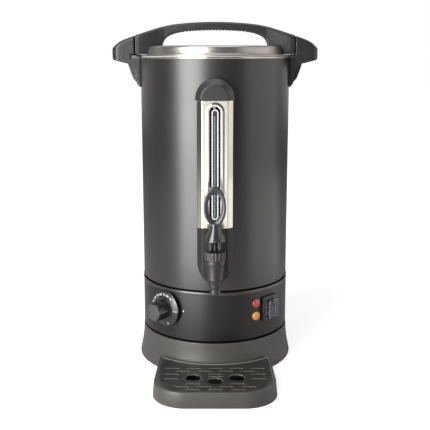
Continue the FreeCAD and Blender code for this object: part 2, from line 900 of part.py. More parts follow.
def make_lid_handle():
    grip = new_body("lid_handle")
    seam = d.seam_radius
    crown, shoulder_start, flank_start = arch_points()[:3]
    finger = finger_points()
    low = d.lid_flange_top + 0.6
    foot = d.lid_disc_top - 1
    path = mirrored([
        crown,
        shoulder_start,
        flank_start,
        (seam, arch_height(seam.value), -d.arch_flank_radius),
        (seam, low),
        (90, low),
        (90, foot),
        (finger[3][0] + 1, foot),
        finger[3][:2],
        (finger[2][0], finger[2][1], -finger[3][2]),
        (finger[1][0], finger[1][1], -finger[2][2]),
        (0, finger[0][1], -finger[1][2]),
    ])
    pad(grip, new_sketch(grip, "XZ_Plane", path), 60, midplane=True)
    trim_plan(grip)
    # round seam faces, and a seat that follows the raised disc of the lid
    revolve(grip, box_path(seam, 440, seam + 40, 530), cut=True)
    revolve(grip, [
        (0, 440),
        (d.lid_disc_radius + 0.2, 440),
        (d.lid_disc_radius + 0.2, d.lid_flange_top),
        (d.lid_disc_radius - 2, d.lid_disc_top - 4),
        (d.lid_shoulder, d.lid_disc_top, 6.3),
        (0, d.lid_disc_top),
    ], cut=True)
    # cross grooves under the crown, for the fingers
    under = SIZES["arch_crown_radius"] - SIZES["grip_thickness"]
    centre = SIZES["arch_top"] - SIZES["arch_crown_radius"]
    for number in range(-9, 10):
        angle = math.degrees(number * SIZES["rib_pitch"] / under)
        turn = FreeCAD.Rotation(FreeCAD.Vector(0, 1, 0), angle)
        corner = FreeCAD.Vector(-SIZES["rib_width"] / 2, -SIZES["grip_half_depth"] - 1, under - 1)
        groove = grip.newObject("PartDesign::SubtractiveBox", "finger_groove")
        bind(groove, Length=d.rib_width, Width=2 * d.grip_half_depth + 2, Height=d.rib_depth + 1)
        groove.Placement = FreeCAD.Placement(FreeCAD.Vector(0, 0, centre) + turn.multVec(corner), turn)
    doc.recompute()
    for x in (-90, 90):
        for y in (-7, 7):
            pilot = new_sketch(grip, "XY_Plane", (x, y, d.screw_radius), lift=d.lid_disc_top - 1)
            pocket(grip, pilot, 13, reverse=True)


def make_side_handles():
    for label, turn in (("handle_right", 0), ("handle_left", 180)):
        handle = new_body(label)
        _, _, _, nose_start, tip_start = arch_points()
        start = d.seam_radius + d.seam_gap
        tip_x = tip_start[0] + d.arch_tip_radius * (1 - sine(d.arch_nose_angle))
        tip_z = tip_start[1] - d.arch_tip_radius * cosine(d.arch_nose_angle)
        wall = d.shell_radius - 3
        path = [
            (start, arch_height(start.value)),
            (nose_start[0], nose_start[1], -d.arch_flank_radius),
            (tip_start[0], tip_start[1], -d.arch_nose_radius),
            (tip_x, tip_z, -d.arch_tip_radius),
            (tip_x, d.side_end_low),
            (tip_x - 5, d.side_end_low - 5, -5),
            (133.2, d.side_lip),
            (d.shell_radius + 7, 438, 16),
            (d.shell_radius + d.leg_thickness, d.leg_foot + 5),
            (d.shell_radius + 1, d.leg_foot),
            (wall, d.leg_foot),
            (wall, d.lid_flange_top + 0.3),
            (start, d.lid_flange_top + 0.3),
        ]
        pad(handle, new_sketch(handle, "XZ_Plane", path), 60, midplane=True)
        trim_plan(handle)
        gusset = [
            (wall, 419), (115, 421), (119.4, 425.7), (123, 430), (126.4, 439), (129.3, 448), (131, 455), (wall, 455),
        ]
        pad(handle, new_sketch(handle, "XZ_Plane", gusset), 14, midplane=True)
        revolve(handle, [
            (0, 400),
            (d.shell_radius, 400),
            (d.shell_radius, d.rim_low),
            (d.rim_radius, d.rim_low),
            (d.rim_radius, 470),
            (0, 470),
        ], cut=True)
        revolve(handle, [
            (0, d.lid_flange_top + 0.3), (start, d.lid_flange_top + 0.3), (start, 530), (0, 530),
        ], cut=True)
        for height in (450, 431):
            bore(handle, d.screw_radius, 90, height, 105, d.shell_radius + 4)
        # the notch that holds the lid's lock tongue
        block_cut(handle, (114.4, 8, d.rim_low), (10.4, 12, 6.3))
        handle.Placement = FreeCAD.Placement(ORIGIN, FreeCAD.Rotation(UP, turn))

    tongues = new_body("lock_tongues")
    for side in (1, -1):
        corners = [side * 115.3, side * 8, side * 123.9, side * 17]
        strip = box_path(min(corners[0], corners[2]), min(corners[1], corners[3]), max(corners[0], corners[2]),
                         max(corners[1], corners[3]))
        pad(tongues, new_sketch(tongues, "XY_Plane", strip, lift=d.rim_low), 4.6)

    screws = new_body("handle_screws")
    for azimuth in (-90, 90):
        for height in (450, 431):
            radial_screw(screws, azimuth, height, 108.6, d.shell_radius + 3.8)
    panel_screws = new_body("panel_screws")
    for height in (419, 217):
        radial_screw(panel_screws, 0, height, 108.6, 116)


def radial_screw(body, azimuth, height, head_low, reach):
    """A pan-head screw driven outward through the shell, its head inside."""
    for radius, near, far in ((d.screw_radius, head_low, reach), (d.screw_head_radius, head_low, 110.4)):
        item = body.newObject("PartDesign::AdditiveCylinder", body.Label + "_part")
        bind(item, Radius=radius, Height=dim(far) - near)
        aim(item, azimuth, near, height)
        doc.recompute()


# Sight-glass column


def channel(half, face_half, front, facet, back):
    """The column's outer plan: side walls, bevelled facets and a flat face."""
    return [
        (-half, -back),
        (-half, -(front - facet)),
        (-face_half, -front),
        (face_half, -front),
        (half, -(front - facet)),
        (half, -back),
    ]


def shell_saddle(body):
    """Trims the back of a column piece to the shell."""
    item = body.newObject("PartDesign::SubtractiveCylinder", body.Label + "_saddle")
    bind(item, Radius=d.shell_radius, Height=500)
    doc.recompute()


def make_column():
    panel = new_body("sight_panel")
    outer = channel(d.column_half, d.column_face_half, d.column_front, d.column_facet, d.column_back)
    inner = channel(
        d.column_half - 1, d.column_face_half - 0.6, d.column_front - 1, d.column_facet - 0.2, d.column_back - 2
    )
    length = d.panel_top - d.panel_low
    pad(panel, new_sketch(panel, "XY_Plane", outer, lift=d.panel_low), length)
    face = new_sketch(
        panel,
        "XZ_Plane",
        upright_stadium(d.slot_half + d.frame_width, d.slot_low - d.frame_width, d.slot_top + d.frame_width),
        lift=d.column_front - 0.5,
    )
    pad(panel, face, d.frame_height + 0.5)
    pocket(panel, new_sketch(panel, "XY_Plane", inner, lift=d.panel_low), length, reverse=True)
    slot = new_sketch(panel, "XZ_Plane", upright_stadium(d.slot_half, d.slot_low, d.slot_top), lift=d.column_front - 3)
    pocket(panel, slot, 8, reverse=True)

    cap = new_body("sight_cap")
    foot = d.panel_top
    half = d.cap_half
    arch = [
        (half, foot),
        (half, foot + 2),
        (0, foot + d.cap_height, half),
        (-half, foot + 2, half),
        (-half, foot),
    ]
    pad(cap, new_sketch(cap, "XZ_Plane", arch, lift=dim(100)), d.cap_front - 100)
    fillet_edges = SIZES["cap_front"]
    chamfer(
        cap,
        lambda edge: on_front(edge, fillet_edges) and edge.BoundBox.ZMax > SIZES["panel_top"] + 5,
        d.cap_chamfer,
    )
    shell_saddle(cap)
    socket = new_sketch(cap, "XY_Plane", (0, -d.glass_reach, d.glass_radius + 1.4), lift=foot)
    pocket(cap, socket, 10, reverse=True)
    bore(cap, d.screw_radius, 0, 419, 105, 119.5)

    housing = new_body("tap_housing")
    top = d.panel_low
    side = d.column_half
    block = channel(side, d.column_face_half, d.column_front, d.column_facet, dim(100))
    pad(housing, new_sketch(housing, "XY_Plane", block, lift=dim(140)), top - 140)
    below = [
        (side + 1, d.housing_bend),
        (side, d.housing_bend),
        (11, d.housing_tip + 2, -36),
        (-11, d.housing_tip + 2, -16),
        (-side, d.housing_bend, -36),
        (-(side + 1), d.housing_bend),
        (-(side + 1), 130),
        (side + 1, 130),
    ]
    pocket(housing, new_sketch(housing, "XZ_Plane", below), midplane=True)
    shell_saddle(housing)
    socket = new_sketch(housing, "XY_Plane", (0, -d.glass_reach, d.glass_radius + 1.4), lift=top)
    pocket(housing, socket, top - d.glass_low)
    feed = new_sketch(housing, "XY_Plane", (0, -d.glass_reach, 3), lift=d.glass_low)
    pocket(housing, feed, d.glass_low - d.inlet_height)
    bore(housing, d.inlet_radius + 0.1, 0, d.inlet_height, 100, 140)
    bore(housing, d.screw_radius, 0, 217, 105, 117)

    glass = new_body("sight_glass")
    height = d.glass_top - d.glass_low
    tube = new_sketch(glass, "XY_Plane", (0, 0, d.glass_radius), (0, 0, d.glass_bore))
    pad(glass, tube, height)
    place(glass, 0, -d.glass_reach, d.glass_low)

    seals = new_body("sight_seals")
    for low in (d.glass_low, d.panel_top + 1.5):
        ring = new_sketch(seals, "XY_Plane", (0, 0, d.glass_radius + 1.4), (0, 0, d.glass_radius), lift=low)
        pad(seals, ring, 7)
    place(seals, 0, -d.glass_reach, 0)

    scale = new_body("sight_scale")
    strip = box_path(-9, -116.5, 9, -115.5)
    pad(scale, new_sketch(scale, "XY_Plane", strip, lift=d.panel_low), length)


def on_front(edge, reach):
    """True for an edge that lies in the column's front face."""
    return all(abs(vertex.Point.y + reach) < 0.01 for vertex in edge.Vertexes)


# Tap


def make_tap():
    reach = d.tap_reach
    body = new_body("tap_body")
    tip = d.spout_tip_radius
    revolve(body, [
        (0, d.spout_low),
        (tip, d.spout_low),
        (tip, d.spout_low + 8),
        (tip + 1, d.spout_low + 10),
        (10.8, 165, -40),
        (d.spout_radius, 188, -90),
        (d.spout_radius, d.spout_top),
        (0, d.spout_top),
    ])
    shank = new_sketch(body, "XZ_Plane", (0, d.inlet_height, d.inlet_radius))
    pad(body, shank, reach - d.shell_radius + 0.1, reverse=True)
    thread = new_sketch(body, "XZ_Plane", (0, d.inlet_height, 8))
    pad(body, thread, reach - 94, reverse=True)
    revolve(body, [
        (0, d.spout_low),
        (d.spout_bore, d.spout_low),
        (d.spout_bore, d.seat_height - 1),
        (d.spout_bore + 1.2, d.seat_height),
        (d.chamber_radius, d.seat_height - 1.5),
        (d.chamber_radius, d.spout_top),
        (0, d.spout_top),
    ], cut=True)
    inlet = new_sketch(body, "XZ_Plane", (0, d.inlet_height, 5))
    pocket(body, inlet, reach - 90)
    place(body, 0, -reach, 0)

    gasket = new_body("tap_gasket")
    ring = new_sketch(gasket, "XZ_Plane", (0, d.inlet_height, 12), (0, d.inlet_height, 8), lift=dim(105.2))
    pad(gasket, ring, 5.2)
    nut = new_body("tap_nut")
    corners = [
        (14 * sine(dim(60 * n)), d.inlet_height + 14 * cosine(dim(60 * n)))
        for n in range(6, 0, -1)
    ]
    pad(nut, new_sketch(nut, "XZ_Plane", corners, (0, d.inlet_height, 8), lift=dim(96.5)), 5.5)

    bonnet = new_body("tap_bonnet")
    low = d.spout_top
    revolve(bonnet, [
        (7, low - 6),
        (d.chamber_radius - 0.1, low - 6),
        (d.chamber_radius - 0.1, low),
        (d.bonnet_radius, low),
        (d.bonnet_radius, d.bonnet_top - 1),
        (d.bonnet_radius - 1, d.bonnet_top, 1),
        (d.stem_radius + d.running_gap, d.bonnet_top),
        (d.stem_radius + d.running_gap, low + 6),
        (7, low + 6),
    ])
    groove = pocket(
        bonnet,
        new_sketch(bonnet, "XY_Plane", (0, -(d.bonnet_radius + 0.7), 1.5), lift=low + 1.2),
        20,
        reverse=True,
    )
    polar(bonnet, [groove], 18)
    place(bonnet, 0, -reach, 0)

    stem = new_body("tap_stem")
    revolve(stem, [
        (0, d.seat_height + 2.2),
        (6, d.seat_height + 2.2),
        (6, d.seat_height + 5.4),
        (d.stem_radius, d.seat_height + 5.4),
        (d.stem_radius, d.pin_height + 3.4),
        (d.stem_radius - 0.8, d.pin_height + 4.2),
        (0, d.pin_height + 4.2),
    ])
    pocket(stem, new_sketch(stem, "YZ_Plane", (0, d.pin_height, d.pin_radius)), midplane=True)
    place(stem, 0, -reach, 0)

    cup = new_body("seat_cup")
    revolve(cup, [
        (0, d.seat_height),
        (7.6, d.seat_height),
        (7.6, d.seat_height + 5),
        (6, d.seat_height + 5),
        (6, d.seat_height + 2.2),
        (0, d.seat_height + 2.2),
    ])
    place(cup, 0, -reach, 0)

    pin = new_body("lever_pin")
    pad(pin, new_sketch(pin, "YZ_Plane", (0, d.pin_height, d.pin_radius)), 17, midplane=True)
    place(pin, 0, -reach, 0)

    spring = new_body("tap_spring")
    wire = d.spring_wire / 2
    section = new_sketch(spring, "XZ_Plane", (d.spring_radius, d.seat_height + 5.4 + wire, wire))
    coil = feature(spring, "AdditiveHelix", section)
    coil.ReferenceAxis = (section, ["V_Axis"])
    coil.Mode = "height-turns-angle"
    coil.Turns = 5
    coil.Angle = 0
    bind(coil, Height=d.spout_top + 6 - d.seat_height - 5.4 - 2 * wire)
    doc.recompute()
    place(spring, 0, -reach, 0)
    make_lever()


def make_lever():
    lever = new_body("tap_lever")
    low = d.bell_low
    revolve(lever, [
        (9, low),
        (d.bell_radius, low),
        (d.bell_radius, low + 1.6),
        (d.neck_radius + 2.4, low + 12, -24),
        (d.neck_radius, d.neck_height, -60),
        (0, d.neck_height),
        (0, low + 6),
        (9, low + 6),
    ])
    egg = [
        (0, d.loop_top),
        (-d.loop_half, d.loop_top - 20, 17),
        (-d.neck_radius, d.neck_height - 3, 75),
        (d.neck_radius, d.neck_height - 3),
        (d.loop_half, d.loop_top - 20, 75),
    ]
    egg[0] = (0, d.loop_top, 17)
    pad(lever, new_sketch(lever, "XZ_Plane", egg), 2 * d.lever_half_depth, midplane=True)
    hole = [
        (0, d.loop_hole_top, 10.5),
        (-d.loop_hole_half, d.loop_hole_top - 12, 10.5),
        (-3, d.loop_hole_low + 1.5, 65),
        (3, d.loop_hole_low + 1.5, 4),
        (d.loop_hole_half, d.loop_hole_top - 12, 65),
    ]
    pocket(lever, new_sketch(lever, "XZ_Plane", hole), midplane=True)
    for side in (1, -1):
        cheek = [(side * 4.2, -6), (side * 8, -6), (side * 8, 6), (side * 4.2, 6)]
        pad(lever, new_sketch(lever, "XY_Plane", cheek, lift=d.bonnet_top + 0.6), low + 7 - d.bonnet_top - 0.6)
    hinge = new_sketch(lever, "YZ_Plane", (0, d.pin_height, d.pin_radius + d.running_gap))
    pocket(lever, hinge, midplane=True)
    place(lever, 0, -d.tap_reach, 0)


# Drip tray


def tray_outline(inset, gap):
    """The tray's plan, inset from its outer edge, with a back that follows the skirt at a gap."""
    back = d.skirt_foot_radius + gap
    half = d.tray_half_back - inset
    back_y = -math.sqrt(back.value ** 2 - half.value ** 2)
    wide = d.tray_half_front - inset
    front = d.tray_front - inset
    corner = d.tray_corner - inset
    return [
        (half, back_y),
        (-half, back_y, -back),
        (-wide, -(front - corner)),
        (-wide + corner, -front, corner),
        (wide - corner, -front),
        (wide, -(front - corner), corner),
    ]


def make_tray():
    tray = new_body("drip_tray")
    walls = new_sketch(tray, "XY_Plane", tray_outline(-d.tray_flare, d.tray_gap))
    body = pad(tray, walls, d.tray_height)
    body.TaperAngle = -math.degrees(math.atan(SIZES["tray_flare"] / SIZES["tray_height"]))
    doc.recompute()
    fillet(tray, lambda edge: level(edge, SIZES["tray_height"]), 1.2)
    rim = d.tray_rim
    recess = new_sketch(tray, "XY_Plane", tray_outline(rim, 5), lift=d.tray_height)
    pocket(tray, recess, d.tray_recess)
    basin = new_sketch(tray, "XY_Plane", tray_outline(rim + 2.2, 7.5), lift=d.tray_height)
    pocket(tray, basin, d.tray_height - d.tray_floor)
    for side in (-1, 1):
        tongue = new_sketch(tray, "XY_Plane", box_path(side * 16 - 8, -123, side * 16 + 8, -109), lift=dim(0.6))
        pad(tray, tongue, 2.6)

    grille = new_body("drip_grille")
    low = d.tray_height - d.tray_recess
    pad(grille, new_sketch(grille, "XY_Plane", tray_outline(rim + 0.4, 5.4), lift=low), d.grille_thickness)
    holes = [(0, -181, d.drip_hole_radius), (-30.7, -169.4, d.drip_hole_radius), (30.7, -169.4, d.drip_hole_radius)]
    pocket(grille, new_sketch(grille, "XY_Plane", *holes), midplane=True)
    step = 30.6
    rows = [
        (-138, (-2, -1, 0, 1, 2)),
        (-148.3, (-1.5, -0.5, 0.5, 1.5)),
        (-158.6, (-2, 0, 2)),
        (-166.4, (0,)),
        (-174.5, (-2, 2)),
        (-191.4, (-1, 1)),
        (-201.1, (-1.5, -0.5, 0.5, 1.5)),
        (-210.3, (-1, 0, 1)),
    ]
    for y, places in rows:
        slots = [stadium(place_x * step - 9.6, place_x * step + 9.6, y, 1.7) for place_x in places]
        pocket(grille, new_sketch(grille, "XY_Plane", *slots), midplane=True)


def main():
    make_base()
    make_band()
    make_thermostat()
    make_switch()
    make_vessel()
    make_lid()
    make_lid_handle()
    make_side_handles()
    make_column()
    make_tap()
    make_tray()
    write_nodes()


def write_nodes():
    """Checks every object, then writes one file for each sub-part."""
    doc.recompute()
    for item in doc.Objects:
        if "Invalid" in item.State or "Error" in item.State:
            raise RuntimeError("%s did not build" % item.Label)
    for node in nodes:
        if node.Shape.isNull() or not node.Shape.isValid():
            raise RuntimeError("%s has no valid shape" % node.Label)
    os.makedirs("parts", exist_ok=True)
    for node in nodes:
        node.Shape.exportStep("parts/%s.step" % node.Label)
        box = node.Shape.BoundBox
        print("%-16s %2d solids %10.0f mm3  x %6.1f %6.1f  y %6.1f %6.1f  z %6.1f %6.1f" % (
            node.Label, len(node.Shape.Solids), node.Shape.Volume,
            box.XMin, box.XMax, box.YMin, box.YMax, box.ZMin, box.ZMax,
        ))


main()
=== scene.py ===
"""The looks of a ten-litre hot water urn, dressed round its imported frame. Metres throughout."""

import logging
import math
from dataclasses import dataclass, replace
from enum import Enum

import bmesh
import bpy
from mathutils import Matrix, Vector


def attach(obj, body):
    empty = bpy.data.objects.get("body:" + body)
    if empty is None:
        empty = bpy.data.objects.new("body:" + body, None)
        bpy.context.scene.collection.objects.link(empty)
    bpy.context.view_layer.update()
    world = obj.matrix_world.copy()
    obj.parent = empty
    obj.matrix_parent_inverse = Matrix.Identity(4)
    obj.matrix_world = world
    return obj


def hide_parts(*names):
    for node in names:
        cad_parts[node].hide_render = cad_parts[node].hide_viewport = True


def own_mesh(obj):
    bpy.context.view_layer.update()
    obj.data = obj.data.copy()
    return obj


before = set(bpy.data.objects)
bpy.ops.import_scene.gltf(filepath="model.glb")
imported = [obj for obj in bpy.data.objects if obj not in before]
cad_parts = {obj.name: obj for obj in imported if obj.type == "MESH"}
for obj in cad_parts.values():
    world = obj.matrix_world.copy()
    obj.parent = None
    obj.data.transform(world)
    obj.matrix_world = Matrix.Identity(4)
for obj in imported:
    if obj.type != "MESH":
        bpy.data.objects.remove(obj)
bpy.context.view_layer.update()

LOG = logging.getLogger("urn")
MM = 0.001
CLOSE = 1e-6
ON_AXIS = 1e-7
FLAT_ANGLE = 0.4
SMOOTH_ANGLE = 32.0
ROUNDED_ANGLE = 40.0
ROUND_STEPS = 256
SIDE_SHARE = 0.45
EDGE = 1
EDGE_ROUGHNESS = 0.7
COAT_ROUGHNESS = 0.12
CLOUD_GAIN = 4.0
STEEL_LINES = 0.35
PLASTIC_LINES = 0.5
LINE_RADIUS = 0.11

Colour = tuple[float, float, float]
Point = tuple[float, float]
Form = bmesh.types.BMesh
Piece = bpy.types.Object
Socket = bpy.types.NodeSocket
Tree = bpy.types.NodeTree


class Lines(Enum):
    """Which way the fine lines in a surface run."""

    NONE = "none"
    ROUND = "round"
    UPRIGHT = "upright"
    ACROSS = "across"


@dataclass(frozen=True)
class Finish:
    """One surface finish.

    Args:
        name: what the finish is called.
        colour: its base colour, linear.
        roughness: middle roughness.
        metallic: 1 for bare metal.
        ior: index of refraction of the surface.
        lines: the direction of its brushed or moulded lines.
        line_depth: how deep the lines look, in metres.
        grain: grain size in metres, or 0 for none.
        grain_depth: how deep the grain looks, in metres.
        grain_contrast: how far the grain changes the colour.
        cloud: how far the colour drifts over a hand's width.
        coat: clear coat weight.
        transmission: 1 for clear material.
        glow: light given out.
        edge_lift: how much lighter its rounded edges are painted, as a painted highlight.
    """

    name: str
    colour: Colour
    roughness: float
    metallic: float = 0.0
    ior: float = 1.5
    lines: Lines = Lines.NONE
    line_depth: float = 0.0
    grain: float = 0.0
    grain_depth: float = 0.0
    grain_contrast: float = 0.1
    cloud: float = 0.05
    coat: float = 0.0
    transmission: float = 0.0
    glow: float = 0.0
    edge_lift: float = 1.0


SHELL_PAINT = Finish("shell_paint", (0.0115, 0.011, 0.0102), 0.33, ior=1.66, grain=0.0009,
                     grain_depth=0.00003, grain_contrast=0.12)
BAND_PLASTIC = Finish("band_plastic", (0.004, 0.004, 0.0038), 0.31, ior=1.46, lines=Lines.ROUND,
                      line_depth=0.00003, grain=0.0008, grain_depth=0.00003)
BEAD_PLASTIC = Finish("bead_plastic", (0.02, 0.02, 0.019), 0.34, coat=0.3)
BASE_PLASTIC = Finish("base_plastic", (0.042, 0.041, 0.039), 0.4, ior=1.5, lines=Lines.ROUND,
                      line_depth=0.00004, grain=0.0009, grain_depth=0.00003, edge_lift=1.8)
TRAY_PLASTIC = Finish("tray_plastic", (0.04, 0.038, 0.036), 0.38, ior=1.5, lines=Lines.ACROSS,
                      line_depth=0.00003, grain=0.0009, grain_depth=0.00004, edge_lift=5.0)
GRILLE_PLASTIC = Finish("grille_plastic", (0.021, 0.0195, 0.018), 0.4, grain=0.001, grain_depth=0.00006,
                        edge_lift=7.0)
HANDLE_PLASTIC = Finish("handle_plastic", (0.01, 0.0106, 0.012), 0.34, grain=0.0014, grain_depth=0.0002,
                        grain_contrast=0.35)
COLUMN_PLASTIC = Finish("column_plastic", (0.015, 0.0157, 0.017), 0.36, grain=0.0014, grain_depth=0.0002,
                        grain_contrast=0.35)
HOUSING_PLASTIC = Finish("housing_plastic", (0.01, 0.0105, 0.011), 0.42, ior=1.36, grain=0.0014,
                         grain_depth=0.0003, grain_contrast=0.9)
TAP_PLASTIC = Finish("tap_plastic", (0.008, 0.008, 0.008), 0.4, grain=0.0007, grain_depth=0.00002,
                     coat=0.15)
LEVER_PLASTIC = Finish("lever_plastic", (0.014, 0.015, 0.017), 0.24, grain=0.0008, grain_depth=0.00002,
                       coat=0.4)
KNOB_PLASTIC = Finish("knob_plastic", (0.011, 0.011, 0.012), 0.24, grain=0.0008, grain_depth=0.00002,
                      coat=0.3)
HUB_PLASTIC = Finish("hub_plastic", (0.035, 0.035, 0.035), 0.45, grain=0.0008, grain_depth=0.00004)
FRAME_PLASTIC = Finish("frame_plastic", (0.008, 0.008, 0.008), 0.3, grain=0.0009, grain_depth=0.00003,
                       edge_lift=2.5)
ROCKER_PLASTIC = Finish("rocker_plastic", (0.012, 0.012, 0.013), 0.28)
BRUSHED_STEEL = Finish("brushed_steel", (0.38, 0.365, 0.345), 0.33, metallic=1.0, lines=Lines.ROUND,
                       line_depth=0.00004)
POLISHED_STEEL = Finish("polished_steel", (0.62, 0.595, 0.555), 0.17, metallic=1.0, lines=Lines.UPRIGHT,
                        line_depth=0.00001, cloud=0.03)
RIM_STEEL = Finish("rim_steel", (0.6, 0.575, 0.54), 0.18, metallic=1.0, lines=Lines.ROUND,
                   line_depth=0.00001)
DARK_STEEL = Finish("dark_steel", (0.12, 0.12, 0.12), 0.35, metallic=1.0, grain=0.0008, grain_depth=0.00002)
PLAIN_STEEL = Finish("plain_steel", (0.55, 0.54, 0.53), 0.32, metallic=1.0, grain=0.0008,
                     grain_depth=0.00002)
HEATER_STEEL = Finish("heater_steel", (0.4, 0.38, 0.36), 0.42, metallic=1.0, grain=0.0012,
                      grain_depth=0.00004)
BRASS = Finish("brass", (0.62, 0.45, 0.2), 0.3, metallic=1.0, grain=0.001, grain_depth=0.00002)
SILICONE = Finish("silicone", (0.42, 0.41, 0.39), 0.5, grain=0.001, grain_depth=0.00003)
RUBBER = Finish("rubber", (0.02, 0.02, 0.02), 0.75, grain=0.0011, grain_depth=0.00008)
GAUGE_PALE = Finish("gauge_pale", (0.62, 0.64, 0.66), 0.22, coat=0.3)
GAUGE_BACK = Finish("gauge_back", (0.01, 0.011, 0.013), 0.4)
GAUGE_BLUE = Finish("gauge_blue", (0.075, 0.09, 0.12), 0.3, coat=0.2)
CLEAR_TUBE = Finish("clear_tube", (0.95, 0.97, 0.98), 0.03, ior=1.45, transmission=1.0)
RED_LENS = Finish("red_lens", (0.29, 0.028, 0.034), 0.16, ior=1.5, grain=0.0026, grain_depth=0.0004,
                  grain_contrast=1.1, coat=0.6, glow=0.02)
AMBER_LENS = Finish("amber_lens", (0.43, 0.18, 0.035), 0.16, ior=1.5, grain=0.0026, grain_depth=0.0004,
                    grain_contrast=1.1, coat=0.6, glow=0.02)
CLEAR_BOOT = Finish("clear_boot", (0.55, 0.52, 0.62), 0.2, ior=1.3, transmission=1.0, grain=0.004,
                    grain_depth=0.0006, grain_contrast=0.1)
WHITE_PRINT = Finish("white_print", (0.36, 0.36, 0.36), 0.5)
# A black finish that hardly reflects, used as painted shadow in the band's joints.
JOINT_SHADOW = Finish("joint_shadow_paint", (0.002, 0.002, 0.002), 0.8, ior=1.05)


class Groups:
    """The shader node groups that every finish is made from."""

    SPECK_DETAIL = 3.0
    LINE_STRETCH = (9.0, 2600.0, 2600.0)
    LINE_DETAIL = 4.0
    DRIFT_SCALE = 14.0
    DRIFT_DETAIL = 5.0

    def __init__(self) -> None:
        """Builds each group once."""
        self.grain = self.make_grain()
        self.lines = self.make_lines()
        self.cloud = self.make_cloud()

    @staticmethod
    def start(name: str, inputs: dict[str, str], outputs: dict[str, str]) -> Tree:
        """Starts a group with named sockets.

        Args:
            name: the group's name.
            inputs: socket name to kind.
            outputs: socket name to kind.

        Returns:
            The empty group.
        """
        tree = bpy.data.node_groups.new(name, "ShaderNodeTree")
        for way, sockets in (("INPUT", inputs), ("OUTPUT", outputs)):
            for label, kind in sockets.items():
                tree.interface.new_socket(label, in_out=way, socket_type="NodeSocket" + kind)
        tree.nodes.new("NodeGroupInput").name = "in"
        tree.nodes.new("NodeGroupOutput").name = "out"
        return tree

    @staticmethod
    def sum_up(tree: Tree, operation: str, first: object, second: object) -> Socket:
        """Adds one Math node.

        Args:
            tree: the tree it goes in.
            operation: what it works out.
            first: a socket or a number.
            second: a socket or a number.

        Returns:
            Its result.
        """
        node = tree.nodes.new("ShaderNodeMath")
        node.operation = operation
        for place, value in enumerate((first, second)):
            if isinstance(value, Socket):
                tree.links.new(value, node.inputs[place])
            else:
                node.inputs[place].default_value = value
        return node.outputs[0]

    @staticmethod
    def shade(tree: Tree, colour: Socket, factor: Socket) -> Socket:
        """Multiplies a colour by a number.

        Args:
            tree: the tree it goes in.
            colour: the colour socket.
            factor: the number socket.

        Returns:
            The shaded colour.
        """
        node = tree.nodes.new("ShaderNodeVectorMath")
        node.operation = "SCALE"
        tree.links.new(colour, node.inputs[0])
        tree.links.new(factor, node.inputs["Scale"])
        return node.outputs[0]

    def vary(self, tree: Tree, pattern: Socket, amount: str, rough_share: float) -> None:
        """Lets a pattern swing a group's colour and roughness.

        Args:
            tree: the group.
            pattern: a socket whose values lie about a half.
            amount: the input that says how far the colour swings.
            rough_share: how much of that swing the roughness takes.
        """
        source, out = tree.nodes["in"], tree.nodes["out"]
        centred = self.sum_up(tree, "SUBTRACT", pattern, 0.5)
        swing = self.sum_up(tree, "MULTIPLY", centred, source.outputs[amount])
        colour = self.shade(tree, source.outputs["Colour"], self.sum_up(tree, "ADD", swing, 1.0))
        rough_swing = self.sum_up(tree, "MULTIPLY", swing, rough_share)
        rough = self.sum_up(tree, "ADD", source.outputs["Roughness"], rough_swing)
        tree.links.new(colour, out.inputs["Colour"])
        tree.links.new(rough, out.inputs["Roughness"])

    def make_grain(self) -> Tree:
        """Builds the fine grain of a moulded or sprayed surface.

        Returns:
            The group.
        """
        tree = self.start(
            "fine_grain",
            {"Vector": "Vector", "Colour": "Color", "Scale": "Float", "Contrast": "Float",
             "Roughness": "Float"},
            {"Colour": "Color", "Roughness": "Float", "Height": "Float"},
        )
        source = tree.nodes["in"]
        cells = tree.nodes.new("ShaderNodeTexVoronoi")
        cells.feature = "SMOOTH_F1"
        speck = tree.nodes.new("ShaderNodeTexNoise")
        speck.inputs["Detail"].default_value = self.SPECK_DETAIL
        for node in (cells, speck):
            tree.links.new(source.outputs["Vector"], node.inputs["Vector"])
            tree.links.new(source.outputs["Scale"], node.inputs["Scale"])
        height = self.sum_up(tree, "ADD", cells.outputs["Distance"], speck.outputs["Fac"])
        self.vary(tree, speck.outputs["Fac"], "Contrast", 0.2)
        tree.links.new(height, tree.nodes["out"].inputs["Height"])
        return tree

    def make_lines(self) -> Tree:
        """Builds fine parallel lines along the first coordinate.

        Returns:
            The group.
        """
        tree = self.start(
            "fine_lines",
            {"Vector": "Vector", "Colour": "Color", "Contrast": "Float", "Roughness": "Float"},
            {"Colour": "Color", "Roughness": "Float", "Height": "Float"},
        )
        stretch = tree.nodes.new("ShaderNodeVectorMath")
        stretch.operation = "MULTIPLY"
        stretch.inputs[1].default_value = self.LINE_STRETCH
        streak = tree.nodes.new("ShaderNodeTexNoise")
        streak.inputs["Scale"].default_value = 1.0
        streak.inputs["Detail"].default_value = self.LINE_DETAIL
        tree.links.new(tree.nodes["in"].outputs["Vector"], stretch.inputs[0])
        tree.links.new(stretch.outputs[0], streak.inputs["Vector"])
        self.vary(tree, streak.outputs["Fac"], "Contrast", 0.3)
        tree.links.new(streak.outputs["Fac"], tree.nodes["out"].inputs["Height"])
        return tree

    def make_cloud(self) -> Tree:
        """Builds the slow drift of colour over a large surface.

        Returns:
            The group.
        """
        tree = self.start(
            "slow_drift",
            {"Vector": "Vector", "Colour": "Color", "Amount": "Float", "Roughness": "Float"},
            {"Colour": "Color", "Roughness": "Float"},
        )
        drift = tree.nodes.new("ShaderNodeTexNoise")
        drift.inputs["Scale"].default_value = self.DRIFT_SCALE
        drift.inputs["Detail"].default_value = self.DRIFT_DETAIL
        tree.links.new(tree.nodes["in"].outputs["Vector"], drift.inputs["Vector"])
        self.vary(tree, drift.outputs["Fac"], "Amount", 0.5)
        return tree


